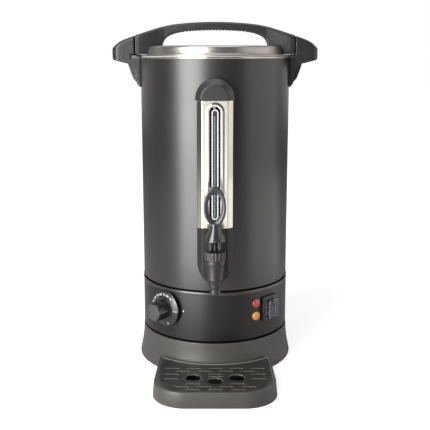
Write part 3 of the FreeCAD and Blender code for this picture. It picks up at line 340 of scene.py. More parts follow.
class Finisher:
    """Makes one material for each finish and keeps it."""

    def __init__(self) -> None:
        """Starts with no material."""
        self.groups = Groups()
        self.made: dict[str, bpy.types.Material] = {}

    def material(self, finish: Finish) -> bpy.types.Material:
        """Gives the material of a finish, made at its first use.

        Args:
            finish: the finish wanted.

        Returns:
            Its material.
        """
        if finish.name in self.made:
            return self.made[finish.name]
        material = bpy.data.materials.new(finish.name)
        material.use_nodes = True
        tree = material.node_tree
        shader = tree.nodes["Principled BSDF"]
        for label, value in (
                ("Roughness", finish.roughness),
                ("Metallic", finish.metallic),
                ("IOR", finish.ior),
                ("Transmission Weight", finish.transmission),
                ("Coat Weight", finish.coat),
                ("Coat Roughness", COAT_ROUGHNESS),
                ("Emission Strength", finish.glow),
                ("Emission Color", (*finish.colour, 1.0))):
            shader.inputs[label].default_value = value
        place = tree.nodes.new("ShaderNodeTexCoord").outputs["Object"]
        colour, rough = self.drift(tree, place, finish)
        bumps = []
        if finish.grain:
            grain = self.add_group(tree, self.groups.grain, place, colour, rough)
            grain.inputs["Scale"].default_value = 1.0 / finish.grain
            grain.inputs["Contrast"].default_value = finish.grain_contrast
            colour, rough = grain.outputs["Colour"], grain.outputs["Roughness"]
            bumps.append((grain.outputs["Height"], finish.grain_depth))
        if finish.lines is not Lines.NONE:
            along = self.line_coordinates(tree, place, finish.lines)
            lines = self.add_group(tree, self.groups.lines, along, colour, rough)
            lines.inputs["Contrast"].default_value = STEEL_LINES if finish.metallic else PLASTIC_LINES
            colour, rough = lines.outputs["Colour"], lines.outputs["Roughness"]
            bumps.append((lines.outputs["Height"], finish.line_depth))
        tree.links.new(colour, shader.inputs["Base Color"])
        tree.links.new(rough, shader.inputs["Roughness"])
        normal = None
        for height, depth in bumps:
            bump = tree.nodes.new("ShaderNodeBump")
            bump.inputs["Distance"].default_value = depth
            tree.links.new(height, bump.inputs["Height"])
            if normal is not None:
                tree.links.new(normal, bump.inputs["Normal"])
            normal = bump.outputs["Normal"]
        if normal is not None:
            tree.links.new(normal, shader.inputs["Normal"])
        self.made[finish.name] = material
        return material

    @staticmethod
    def add_group(tree: Tree, group: Tree, place: Socket,
                  colour: Socket | Colour, rough: Socket | float) -> bpy.types.Node:
        """Places a group in a material.

        Args:
            tree: the material's tree.
            group: the group to place.
            place: the coordinates it reads.
            colour: a colour socket or a plain colour.
            rough: a roughness socket or a number.

        Returns:
            The placed node.
        """
        node = tree.nodes.new("ShaderNodeGroup")
        node.node_tree = group
        tree.links.new(place, node.inputs["Vector"])
        for label, value in (("Colour", colour), ("Roughness", rough)):
            if isinstance(value, Socket):
                tree.links.new(value, node.inputs[label])
            elif label == "Colour":
                node.inputs[label].default_value = (*value, 1.0)
            else:
                node.inputs[label].default_value = value
        return node

    def drift(self, tree: Tree, place: Socket,
              finish: Finish) -> tuple[Socket, Socket]:
        """Starts a finish with its slow drift of colour.

        Args:
            tree: the material's tree.
            place: the coordinates.
            finish: the finish.

        Returns:
            Its colour and roughness sockets.
        """
        node = self.add_group(tree, self.groups.cloud, place, finish.colour, finish.roughness)
        node.inputs["Amount"].default_value = finish.cloud * CLOUD_GAIN
        return node.outputs["Colour"], node.outputs["Roughness"]

    @staticmethod
    def line_coordinates(tree: Tree, place: Socket, lines: Lines) -> Socket:
        """Turns the coordinates so that the lines run along the first one.

        Args:
            tree: the material's tree.
            place: the object's coordinates.
            lines: which way the lines run.

        Returns:
            The turned coordinates.
        """
        split = tree.nodes.new("ShaderNodeSeparateXYZ")
        tree.links.new(place, split.inputs[0])
        join = tree.nodes.new("ShaderNodeCombineXYZ")
        x, y, z = (split.outputs[axis] for axis in "XYZ")
        if lines is Lines.ACROSS:
            order = (x, y, z)
        elif lines is Lines.UPRIGHT:
            order = (z, x, y)
        else:
            turn = Groups.sum_up(tree, "ARCTAN2", y, x)
            squares = (Groups.sum_up(tree, "MULTIPLY", axis, axis) for axis in (x, y))
            reach = Groups.sum_up(tree, "SQRT", Groups.sum_up(tree, "ADD", *squares), 0.0)
            order = (Groups.sum_up(tree, "MULTIPLY", turn, LINE_RADIUS), reach, z)
        for place_number, socket in enumerate(order):
            tree.links.new(socket, join.inputs[place_number])
        return join.outputs[0]


class Shop:
    """Makes meshes, rides them on bodies and dresses them."""

    def __init__(self) -> None:
        """Starts the finisher."""
        self.finisher = Finisher()

    def dress(self, piece: Piece, finish: Finish) -> None:
        """Gives a piece its finish, and its rounded edges a lighter, smoother copy of it: a painted highlight
        along the edges.

        Args:
            piece: the piece.
            finish: its finish.
        """
        edged = [face.index for face in piece.data.polygons if face.material_index == EDGE]
        piece.data.materials.clear()
        piece.data.materials.append(self.finisher.material(finish))
        if edged:
            # The rounded edges get a lighter colour, a painted highlight, and a lower roughness.
            lit_edge_finish = replace(
                finish,
                name=finish.name + "_edge",
                colour=tuple(min(1.0, part * finish.edge_lift) for part in finish.colour),
                roughness=finish.roughness * EDGE_ROUGHNESS,
            )
            piece.data.materials.append(self.finisher.material(lit_edge_finish))
            for index in edged:
                piece.data.polygons[index].material_index = EDGE

    def dress_nodes(self, finishes: dict[str, Finish]) -> None:
        """Gives kept nodes of the frame their finishes.

        Args:
            finishes: each node's name, with its finish.
        """
        for node, finish in finishes.items():
            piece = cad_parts[node]
            for slot in piece.material_slots:
                slot.material = self.finisher.material(finish)
            if not piece.material_slots:
                piece.data.materials.append(self.finisher.material(finish))
            LOG.info("kept node %s in %s", node, finish.name)

    def place(self, piece: Piece, body: str, finish: Finish, slot: str, *nodes: str) -> Piece:
        """Dresses a piece, rides it on a body and hides the frame's nodes that it replaces.

        Args:
            piece: the piece.
            body: the body it rides on.
            finish: its finish.
            slot: the record's material slot; not used.
            nodes: the frame's nodes that it replaces.

        Returns:
            The piece.
        """
        self.dress(piece, finish)
        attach(piece, body)
        if nodes:
            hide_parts(*nodes)
        LOG.info("made %s on %s, %d faces", piece.name, body, len(piece.data.polygons))
        return piece

    def put(self, form: Form, name: str, body: str, finish: Finish, slot: str, *nodes: str,
            angle: float = SMOOTH_ANGLE) -> Piece:
        """Makes a named piece of a form and places it.

        Args:
            form: the form, which is freed.
            name: the piece's name.
            body: the body it rides on.
            finish: its finish.
            slot: the record's material slot.
            nodes: the frame's nodes that it replaces.
            angle: edges sharper than this stay sharp.

        Returns:
            The piece.
        """
        return self.place(self.from_bmesh(name, form, angle), body, finish, slot, *nodes)

    @staticmethod
    def add(name: str, mesh: bpy.types.Mesh) -> Piece:
        """Links a mesh into the scene.

        Args:
            name: the object's name.
            mesh: its mesh.

        Returns:
            The object.
        """
        piece = bpy.data.objects.new(name, mesh)
        bpy.context.scene.collection.objects.link(piece)
        return piece

    def from_bmesh(self, name: str, form: Form, angle: float) -> Piece:
        """Turns a form into an object, shaded smooth.

        Args:
            name: the object's name.
            form: the form, which is freed.
            angle: edges sharper than this stay sharp.

        Returns:
            The object.
        """
        mesh = bpy.data.meshes.new(name)
        bmesh.ops.recalc_face_normals(form, faces=form.faces)
        form.to_mesh(mesh)
        form.free()
        mesh.shade_smooth()
        mesh.set_sharp_from_angle(angle=math.radians(angle))
        return self.add(name, mesh)

    @staticmethod
    def source(node: str) -> Form:
        """Copies a node of the frame, welded and without the lines inside its flat faces.

        Args:
            node: the frame's node.

        Returns:
            The copy.
        """
        form = bmesh.new()
        form.from_mesh(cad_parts[node].data)
        bmesh.ops.remove_doubles(form, verts=form.verts, dist=CLOSE)
        bmesh.ops.dissolve_limit(form, angle_limit=math.radians(FLAT_ANGLE), verts=form.verts,
                                 edges=form.edges)
        return form

    @staticmethod
    def moved(form: Form, matrix: Matrix) -> Form:
        """Moves a form and gives it back."""
        bmesh.ops.transform(form, matrix=matrix, verts=form.verts)
        return form

    @staticmethod
    def bevel(form: Form, edges: list[bmesh.types.BMEdge], width: float,
              steps: int) -> list[bmesh.types.BMFace]:
        """Rounds edges of a form, and gives the faces of the roundings."""
        return bmesh.ops.bevel(form, geom=edges, offset=width, offset_type="OFFSET", segments=steps,
                               profile=0.5, affect="EDGES", clamp_overlap=False)["faces"]

    def softened(self, node: str, name: str, width: float, angle: float = 35.0, steps: int = 3) -> Piece:
        """Copies a node and rounds its sharp edges.

        Args:
            node: the frame's node.
            name: the new piece's name.
            width: the width of the rounding.
            angle: edges sharper than this are rounded.
            steps: how many steps round each edge.

        Returns:
            The new piece.
        """
        form = self.source(node)
        limit = math.radians(angle)
        sharp = [edge for edge in form.edges
                 if len(edge.link_faces) == 2 and edge.calc_face_angle(0.0) > limit]
        # The rounding faces are marked for the lighter edge material, a painted highlight.
        for face in self.bevel(form, sharp, width, steps):
            face.material_index = EDGE
        return self.from_bmesh(name, form, ROUNDED_ANGLE)

    @staticmethod
    def merged(forms: list[Form]) -> Form:
        """Gathers forms into one.

        Args:
            forms: the forms, which are freed.

        Returns:
            The one form.
        """
        joined = bmesh.new()
        for form in forms:
            part = bpy.data.meshes.new("part")
            form.to_mesh(part)
            form.free()
            joined.from_mesh(part)
            bpy.data.meshes.remove(part)
        return joined

    def fused(self, forms: list[Form], name: str, voxel: float, rounds: int) -> Piece:
        """Fuses closed forms into one moulded skin with softly rounded edges.

        Args:
            forms: the closed forms, which are freed.
            name: the new piece's name.
            voxel: the size of its mesh.
            rounds: how often it is smoothed.

        Returns:
            The new piece.
        """
        joined = self.merged(forms)
        rough = bpy.data.meshes.new("rough")
        joined.to_mesh(rough)
        joined.free()
        blank = self.add("blank", rough)
        fuse = blank.modifiers.new("fuse", "REMESH")
        fuse.mode = "VOXEL"
        fuse.voxel_size = voxel
        soften = blank.modifiers.new("soften", "SMOOTH")
        soften.factor = 0.5
        soften.iterations = rounds
        mesh = bpy.data.meshes.new_from_object(blank.evaluated_get(bpy.context.evaluated_depsgraph_get()))
        bpy.data.objects.remove(blank)
        mesh.name = name
        mesh.shade_smooth()
        return self.add(name, mesh)

    @staticmethod
    def rounded(points: list[Point], radius: float, steps: int = 4) -> list[Point]:
        """Rounds the corners of a closed outline.

        Args:
            points: its corners.
            radius: the rounding at each corner.
            steps: how many steps round each corner.

        Returns:
            The rounded outline.
        """
        result: list[Point] = []
        count = len(points)
        for index, spot in enumerate(points):
            here = Vector(spot)
            before, after = Vector(points[index - 1]) - here, Vector(points[(index + 1) % count]) - here
            reach = min(radius, before.length * SIDE_SHARE, after.length * SIDE_SHARE)
            first, last = here + before.normalized() * reach, here + after.normalized() * reach
            for step in range(steps + 1):
                share = step / steps
                bend = first.lerp(here, share).lerp(here.lerp(last, share), share)
                result.append((bend.x, bend.y))
        return result

    @staticmethod
    def plate(left: float, low: float, right: float, top: float, radius: float,
              steps: int = 4) -> list[Point]:
        """Gives a rectangle with rounded corners."""
        return Shop.rounded([(left, low), (right, low), (right, top), (left, top)], radius, steps)

    @staticmethod
    def bridge(form: Form, rings: list[list[bmesh.types.BMVert]]) -> None:
        """Joins equal rings with faces, each to the next and the last to the first.

        Args:
            form: the form that holds them.
            rings: the rings, in order.
        """
        for here, after in zip(rings, rings[1:] + rings[:1]):
            for step in range(len(here)):
                following = (step + 1) % len(here)
                form.faces.new((here[step], here[following], after[following], after[step]))

    @staticmethod
    def lathe(profile: list[Point], segments: int = ROUND_STEPS, centre: Point = (0.0, 0.0)) -> Form:
        """Turns a closed profile of radius and height round an upright axis.

        Args:
            profile: its points, radius then height.
            segments: steps round the axis.
            centre: where the axis stands.

        Returns:
            The closed form.
        """
        form = bmesh.new()
        rings = []
        for radius, height in profile:
            if radius < ON_AXIS:
                rings.append([form.verts.new((centre[0], centre[1], height))])
                continue
            rings.append([
                form.verts.new((
                    centre[0] + radius * math.cos(math.tau * step / segments),
                    centre[1] + radius * math.sin(math.tau * step / segments),
                    height,
                ))
                for step in range(segments)
            ])
        for here, after in zip(rings, rings[1:] + rings[:1]):
            if len(here) == 1 and len(after) == 1:
                continue
            for step in range(segments):
                following = (step + 1) % segments
                if len(here) == 1:
                    form.faces.new((here[0], after[step], after[following]))
                elif len(after) == 1:
                    form.faces.new((here[step], here[following], after[0]))
                else:
                    form.faces.new((here[step], here[following], after[following], after[step]))
        bmesh.ops.recalc_face_normals(form, faces=form.faces)
        return form

    @staticmethod
    def slab(outline: list[Point], low: float, high: float, to_world: Matrix = Matrix.Identity(4)) -> Form:
        """Raises a flat outline into a slab.

        Args:
            outline: its points in the plane.
            low: its lower level.
            high: its upper level.
            to_world: where the plane lies.

        Returns:
            The closed form.
        """
        form = bmesh.new()
        rings = [[form.verts.new(to_world @ Vector((x, y, level))) for x, y in outline]
                 for level in (low, high)]
        count = len(outline)
        for step in range(count):
            following = (step + 1) % count
            form.faces.new((rings[0][step], rings[0][following], rings[1][following], rings[1][step]))
        form.faces.new(list(reversed(rings[0])))
        form.faces.new(rings[1])
        bmesh.ops.recalc_face_normals(form, faces=form.faces)
        return form


def on_band(azimuth: float, reach: float, height: float) -> Matrix:
    """Gives a place on a wall round the urn: x along the wall, y up, z outward.

    Args:
        azimuth: degrees from the front, positive to the right.
        reach: distance from the axis.
        height: height above the table.

    Returns:
        The matrix from that place to the urn's frame.
    """
    turn = math.radians(azimuth)
    along = Vector((math.cos(turn), math.sin(turn), 0.0))
    outward = Vector((math.sin(turn), -math.cos(turn), 0.0))
    matrix = Matrix((along, (0.0, 0.0, 1.0), outward)).transposed().to_4x4()
    matrix.translation = outward * reach + Vector((0.0, 0.0, height))
    return matrix


@dataclass
class Vessel:
    """The painted shell, the tank with its rolled rim, and the band and skirt below."""

    shop: Shop
    shell_radius: float = 111.4 * MM
    shell_low: float = 127.5 * MM
    shell_top: float = 458.9 * MM
    sheet: float = 0.8 * MM
    rim_radius: float = 112.2 * MM
    rim_top: float = 461.3 * MM
    tank_radius: float = 104.0 * MM
    tank_floor: float = 127.8 * MM
    tank_corner: float = 6 * MM
    seam_half: float = 2.4 * MM
    seam_rise: float = 0.25 * MM
    band_radius: float = 112.0 * MM
    shell_joint: Point = (127.0 * MM, 129.8 * MM)
    skirt_joint: Point = (49.8 * MM, 53.0 * MM)
    bead_low: float = 121.8 * MM
    bead_top: float = 127.0 * MM
    skirt_angle: float = 50.0

    def build(self) -> None:
        """Makes the vessel's pieces."""
        self.make_shell()
        self.make_tank()
        self.make_joints()
        self.shop.put(Shop.source("base_ring"), "base_ring_moulding", "urn", BASE_PLASTIC, "moulded_black",
                      "base_ring", angle=self.skirt_angle)
        self.shop.dress_nodes({
            "control_band": BAND_PLASTIC,
            "base_plate": PLAIN_STEEL,
            "base_screws": PLAIN_STEEL,
            "rubber_feet": RUBBER,
            "terminal_block": SILICONE,
            "cable_gland": FRAME_PLASTIC,
            "thermostat": BRASS,
            "heating_plate": HEATER_STEEL,
            "heating_element": HEATER_STEEL,
            "boil_dry_cutout": HEATER_STEEL,
        })

    def make_shell(self) -> None:
        """Makes the painted shell, and its welded seam at the back."""
        radius, low, top = self.shell_radius, self.shell_low, self.shell_top
        wall = Shop.lathe(Shop.plate(radius - self.sheet, low, radius, top, 0.3 * MM, 3))
        self.shop.put(wall, "painted_shell", "urn", SHELL_PAINT, "painted_steel", "outer_shell")
        outline = Shop.plate(-self.seam_half, low + 2 * MM, self.seam_half, top - 3 * MM, 0.8 * MM)
        seam = Shop.slab(outline, -0.3 * MM, self.seam_rise, on_band(180.0, radius, 0.0))
        self.shop.put(seam, "shell_seam", "urn", SHELL_PAINT, "painted_steel")

    def make_joints(self) -> None:
        """Makes the black rings in the two joints of the band, painted shadow lines that darken the joints,
        and the bead along its top edge.
        """
        band = self.band_radius
        # The two black rings are painted shadow: nearly unreflecting black laid into the joints, where there
        # is only shade.
        for name, (low, high) in (("shell_joint_shadow", self.shell_joint), ("skirt_joint_shadow", self.skirt_joint)):
            ring = Shop.lathe(Shop.plate(band - 2 * MM, low, band + 0.12 * MM, high, 0.3 * MM, 2))
            self.shop.put(ring, name, "urn", JOINT_SHADOW, "rubber")
        bead = Shop.lathe(Shop.rounded([
            (band - 1.5 * MM, self.bead_low),
            (band + 0.02 * MM, self.bead_low),
            (band + 0.35 * MM, 124.6 * MM),
            (band - 0.4 * MM, self.bead_top),
            (band - 1.5 * MM, self.bead_top),
        ], 1.2 * MM, 6))
        self.shop.put(bead, "band_bead", "urn", BEAD_PLASTIC, "moulded_black")

    def make_tank(self) -> None:
        """Makes the steel tank and the rolled rim that shows under the lid."""
        radius, floor, top, corner = self.tank_radius, self.tank_floor, self.rim_top, self.tank_corner
        profile = [
            (0.0, floor - self.sheet),
            (radius - corner, floor - self.sheet),
            (radius - 0.5 * MM, floor + 2 * MM),
            (radius, floor + corner),
            (radius, self.shell_top - 0.2 * MM),
            (self.rim_radius - 1.0 * MM, self.shell_top),
            (self.rim_radius - 0.3 * MM, self.shell_top + 0.2 * MM),
            (self.rim_radius, (self.rim_top + self.shell_top) / 2.0),
            (self.rim_radius - 0.3 * MM, top - 0.2 * MM),
            (self.rim_radius - 1.0 * MM, top),
            (radius + 1.0 * MM, top),
            (radius - 0.5 * MM, top - 0.4 * MM),
            (radius - self.sheet, top - 1.2 * MM),
            (radius - self.sheet, floor + corner),
            (radius - 1.4 * MM, floor + 2.6 * MM),
            (radius - corner, floor),
            (0.0, floor),
        ]
        self.shop.put(Shop.lathe(profile), "steel_tank", "urn", RIM_STEEL, "polished_steel", "inner_tank")


@dataclass
class Lid:
    """The pressed lid, its ring and seal, and the arched handle that runs across it."""

    shop: Shop
    low: float = 462.7 * MM
    flange_top: float = 464.7 * MM
    radius: float = 111.3 * MM
    disc_radius: float = 101.4 * MM
    disc_top: float = 477.3 * MM
    sheet: float = 0.8 * MM
    shoulder: float = 4.45 * MM
    shoulder_steps: int = 8
    voxel: float = 0.8 * MM
    crown_round: float = 4.5 * MM
    crown_angle: float = 45.0
    pan_angle: float = 50.0

    def build(self) -> None:
        """Makes the lid's pieces."""
        self.make_pan()
        shop = self.shop
        for node, name, body in (("lid_handle", "arched_grip", "lid"),
                                 ("handle_left", "side_bracket_left", "urn"),
                                 ("handle_right", "side_bracket_right", "urn")):
            grip = shop.fused([self.crowned(node)], name, self.voxel, 4)
            shop.place(grip, body, HANDLE_PLASTIC, "textured_black", node)
        shop.dress_nodes({
            "lid_ring": RIM_STEEL,
            "lid_seal": SILICONE,
            "lid_screws": PLAIN_STEEL,
            "handle_screws": PLAIN_STEEL,
            "lock_tongues": DARK_STEEL,
        })

    def crowned(self, node: str) -> Form:
        """Copies a handle and rounds the long edges along its top.

        Args:
            node: the frame's node.

        Returns:
            The rounded copy.
        """
        form = Shop.source(node)
        form.normal_update()
        edges = []
        for edge in form.edges:
            if len(edge.link_faces) != 2 or edge.calc_face_angle(0.0) < math.radians(self.crown_angle):
                continue
            first, second = (face.normal for face in edge.link_faces)
            if any(abs(side.y) > 0.6 and abs(side.z) < 0.3 and top.z > 0.35
                   for side, top in ((first, second), (second, first))):
                edges.append(edge)
        Shop.bevel(form, edges, self.crown_round, 4)
        return form

    def make_pan(self) -> None:
        """Makes the pressed lid with a soft shoulder and a curled flange."""
        sheet, disc, bend = self.sheet, self.disc_radius, self.shoulder
        profile = [
            (self.radius - 1.2 * MM, self.low),
            (self.radius - 0.3 * MM, self.low + 0.1 * MM),
            (self.radius, self.low + 0.7 * MM),
            (self.radius, self.flange_top - 0.8 * MM),
            (self.radius - 0.25 * MM, self.flange_top - 0.2 * MM),
            (self.radius - 0.9 * MM, self.flange_top),
            (disc + 1.2 * MM, self.flange_top),
            (disc + 0.2 * MM, self.flange_top + 0.5 * MM),
            (disc - 0.3 * MM, self.flange_top + 1.6 * MM),
            (disc - 2.2 * MM, self.disc_top - 4 * MM),
        ]
        for step in range(1, self.shoulder_steps + 1):
            turn = math.radians(15 + 75 * step / self.shoulder_steps)
            profile.append((disc - 6.5 * MM + bend * math.cos(turn),
                            self.disc_top - bend + bend * math.sin(turn)))
        profile += [
            (disc - 12 * MM, self.disc_top),
            (0.0, self.disc_top),
            (0.0, self.disc_top - sheet),
            (disc - 9 * MM, self.disc_top - sheet),
            (disc - 4 * MM, self.disc_top - 4.5 * MM),
            (disc - 1.2 * MM, self.flange_top - sheet),
            (self.radius - 1.2 * MM, self.flange_top - sheet),
        ]
        self.shop.put(Shop.lathe(profile), "pressed_lid", "lid", BRUSHED_STEEL, "polished_steel", "lid_pan",
                      angle=self.pan_angle)


@dataclass
class Column:
    """The sight-glass column on the front of the shell."""

    shop: Shop
    voxel: float = 0.7 * MM
    gauge_low: float = 239.0 * MM
    gauge_top: float = 391.5 * MM
    ring_half: float = 4.6 * MM
    ring_width: float = 1.4 * MM
    strip_half: float = 3.1 * MM
    bead_reach: float = 129.9 * MM
    bead_pitch: float = 3.6 * MM

    def build(self) -> None:
        """Makes the column's pieces."""
        shop = self.shop
        for node, name, finish, slot, rounds in (
                ("sight_panel", "polished_channel", POLISHED_STEEL, "polished_steel", 4),
                ("sight_cap", "column_cap", COLUMN_PLASTIC, "textured_black", 4),
                ("tap_housing", "column_housing", HOUSING_PLASTIC, "textured_black", 3)):
            shop.place(shop.fused([Shop.source(node)], name, self.voxel, rounds), "urn", finish, slot, node)
        shop.dress_nodes({
            "sight_glass": CLEAR_TUBE,
            "sight_seals": SILICONE,
            "sight_scale": GAUGE_BACK,
            "panel_screws": PLAIN_STEEL,
        })
        self.make_gauge()

    @staticmethod
    def outline(half: float, low: float, top: float, steps: int = 16) -> list[Point]:
        """Gives an upright slot shape.

        Args:
            half: half its width.
            low: its lowest point.
            top: its highest point.
            steps: steps round each end.

        Returns:
            Its outline.
        """
        turns = [math.pi * step / steps for step in range(steps + 1)]
        upper = [(half * math.cos(turn), top - half + half * math.sin(turn)) for turn in turns]
        lower = [(-half * math.cos(turn), low + half - half * math.sin(turn)) for turn in turns]
        return upper + lower

    def make_gauge(self) -> None:
        """Makes the pale outline, the dark strip and the row of beads that show in the slot."""
        shop = self.shop
        facing = Matrix(((1, 0, 0, 0), (0, 0, -1, 0), (0, 1, 0, 0), (0, 0, 0, 1)))
        low, top, inset = self.gauge_low, self.gauge_top, self.ring_width
        ring = bmesh.new()
        outer = self.outline(self.ring_half, low, top)
        inner = self.outline(self.ring_half - inset, low + inset, top - inset)
        back, front = 129.6 * MM, 130.4 * MM
        Shop.bridge(ring, [
            [ring.verts.new(facing @ Vector((x, y, level))) for x, y in outline]
            for outline, level in ((outer, back), (outer, front), (inner, front), (inner, back))
        ])
        shop.put(ring, "gauge_outline", "urn", GAUGE_PALE, "scale_strip")
        strip_outline = self.outline(self.strip_half, low + inset, top - inset)
        strip = Shop.slab(strip_outline, 129.55 * MM, self.bead_reach, facing)
        shop.put(strip, "gauge_strip", "urn", GAUGE_BACK, "scale_strip")
        shape = [(0.0, -1.2 * MM), (0.9 * MM, -1.1 * MM), (1.5 * MM, -0.7 * MM), (1.75 * MM, 0.0),
                 (1.5 * MM, 0.7 * MM), (0.9 * MM, 1.1 * MM), (0.0, 1.2 * MM)]
        beads = []
        for number in range(int((top - low - 9 * MM) / self.bead_pitch)):
            spot = Matrix.Translation((0.0, -self.bead_reach, low + 5 * MM + number * self.bead_pitch))
            beads.append(Shop.moved(Shop.lathe(shape, 16), spot @ Matrix.Diagonal((1, 0.4, 1.35, 1))))
        shop.put(Shop.merged(beads), "gauge_beads", "urn", GAUGE_BLUE, "scale_strip")


@dataclass
class Tap:
    """The tap: spout, ribbed collar, stem and the loop lever."""

    shop: Shop
    reach: float = 170.0 * MM
    spout_voxel: float = 0.6 * MM
    lever_voxel: float = 0.45 * MM
    loop_half: float = 15.1 * MM
    loop_low: float = 236.0 * MM
    loop_waist: float = 262 * MM
    loop_top: float = 293.3 * MM
    hole_half: float = 9.4 * MM
    hole_low: float = 243.5 * MM
    hole_waist: float = 266 * MM
    hole_top: float = 282.1 * MM
    half_depth: float = 4.9 * MM
    squareness: float = 0.62
    bell_low: float = 218.1 * MM
    bell_radius: float = 14.0 * MM
    neck_radius: float = 6.2 * MM
    neck_height: float = 239.0 * MM
    cheek_low: float = 204.9 * MM
    cheek_inner: float = 4.2 * MM
    cheek_outer: float = 8 * MM
    cheek_half: float = 6 * MM
    stem_travel: float = 3.6 * MM
    spring_gap: float = 0.5 * MM

    def build(self) -> None:
        """Makes the tap's pieces."""
        shop = self.shop
        spout = shop.fused([Shop.source("tap_body")], "spout", self.spout_voxel, 4)
        shop.place(spout, "urn", TAP_PLASTIC, "moulded_black", "tap_body")
        collar = shop.softened("tap_bonnet", "ribbed_collar", 0.3 * MM, 30.0)
        shop.place(collar, "urn", TAP_PLASTIC, "moulded_black", "tap_bonnet")
        self.make_lever()
        shop.dress_nodes({
            "tap_stem": FRAME_PLASTIC,
            "seat_cup": SILICONE,
            "lever_pin": DARK_STEEL,
            "tap_nut": BRASS,
            "tap_gasket": SILICONE,
        })
        self.make_spring()

    def make_spring(self) -> None:
        """Makes the return spring, shortened once from above by a small gap, and rides it on the stem."""
        form = Shop.source("tap_spring")
        low = min(vertex.co.z for vertex in form.verts)
        length = max(vertex.co.z for vertex in form.verts) - low
        shorten = Matrix.Diagonal((1.0, 1.0, 1.0 - self.spring_gap / length, 1.0))
        fit = Matrix.Translation((0.0, 0.0, low)) @ shorten
        Shop.moved(form, fit @ Matrix.Translation((0.0, 0.0, -low)))
        spring = self.shop.put(form, "return_spring", "stem", PLAIN_STEEL, "plain_steel", "tap_spring",
                               angle=ROUNDED_ANGLE)
        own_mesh(spring)

    def make_lever(self) -> None:
        """Makes the loop lever as one moulded skin: the loop, the bell under it and the two cheeks."""
        forms = [self.make_loop(), self.make_bell()]
        for side in (-1, 1):
            outline = Shop.plate(side * self.cheek_inner, -self.cheek_half, side * self.cheek_outer,
                                 self.cheek_half, 0.8 * MM)
            forms.append(Shop.slab(outline, self.cheek_low, self.bell_low + 7 * MM,
                                   Matrix.Translation((0.0, -self.reach, 0.0))))
        lever = self.shop.fused(forms, "loop_lever", self.lever_voxel, 5)
        self.shop.place(lever, "lever", LEVER_PLASTIC, "moulded_black", "tap_lever")

    @staticmethod
    def egg(half: float, low: float, waist: float, top: float, foot: float, steps: int = 96) -> list[Point]:
        """Gives an upright egg outline.

        Args:
            half: half its greatest width.
            low: its lowest height.
            waist: the height where it is widest.
            top: its greatest height.
            foot: how full it is below the waist, 1 for an ellipse.
            steps: how many points.

        Returns:
            Its outline.
        """
        points = []
        for step in range(steps):
            turn = math.tau * step / steps
            rise = math.sin(turn)
            across = math.cos(turn)
            if rise >= 0:
                points.append((half * across, waist + (top - waist) * rise))
            else:
                width = math.copysign(abs(across) ** foot, across)
                points.append((half * width, waist + (waist - low) * rise))
        return points

    def make_loop(self) -> Form:
        """Makes the loop, with a rounded section that is thicker at its outer edge.

        Returns:
            The closed form.
        """
        outer = self.egg(self.loop_half, self.loop_low, self.loop_waist, self.loop_top, 1.35)
        inner = self.egg(self.hole_half, self.hole_low, self.hole_waist, self.hole_top, 1.5)
        section = 14
        corners = []
        for step in range(section):
            turn = math.tau * step / section
            across, depth = (math.copysign(abs(part) ** self.squareness, part)
                             for part in (math.cos(turn), math.sin(turn)))
            corners.append((0.5 + 0.5 * across, depth * self.half_depth))
        form = bmesh.new()
        Shop.bridge(form, [
            [form.verts.new((
                inner_x + (outer_x - inner_x) * share,
                -self.reach + depth * (0.72 + 0.28 * share),
                inner_z + (outer_z - inner_z) * share,
            )) for share, depth in corners]
            for (outer_x, outer_z), (inner_x, inner_z) in zip(outer, inner)
        ])
        bmesh.ops.recalc_face_normals(form, faces=form.faces)
        return form

    def make_bell(self) -> Form:
        """Makes the bell that narrows into the loop's neck.

        Returns:
            The closed form.
        """
        low, wide, neck, height = self.bell_low, self.bell_radius, self.neck_radius, self.neck_height
        profile = [(0.0, low + 6 * MM), (9 * MM, low + 6 * MM), (9 * MM, low), (wide - 0.4 * MM, low),
                   (wide, low + 0.5 * MM), (wide, low + 1.8 * MM)]
        for share, width in ((0.25, 0.9), (0.4, 0.72), (0.55, 0.5), (0.7, 0.28), (0.85, 0.1), (1.0, 0.0)):
            profile.append((neck + (wide - neck) * width, low + (height - low) * share))
        profile += [(neck * 0.9, height + 3 * MM), (0.0, height + 4 * MM)]
        return Shop.lathe(profile, 64, (0.0, -self.reach))


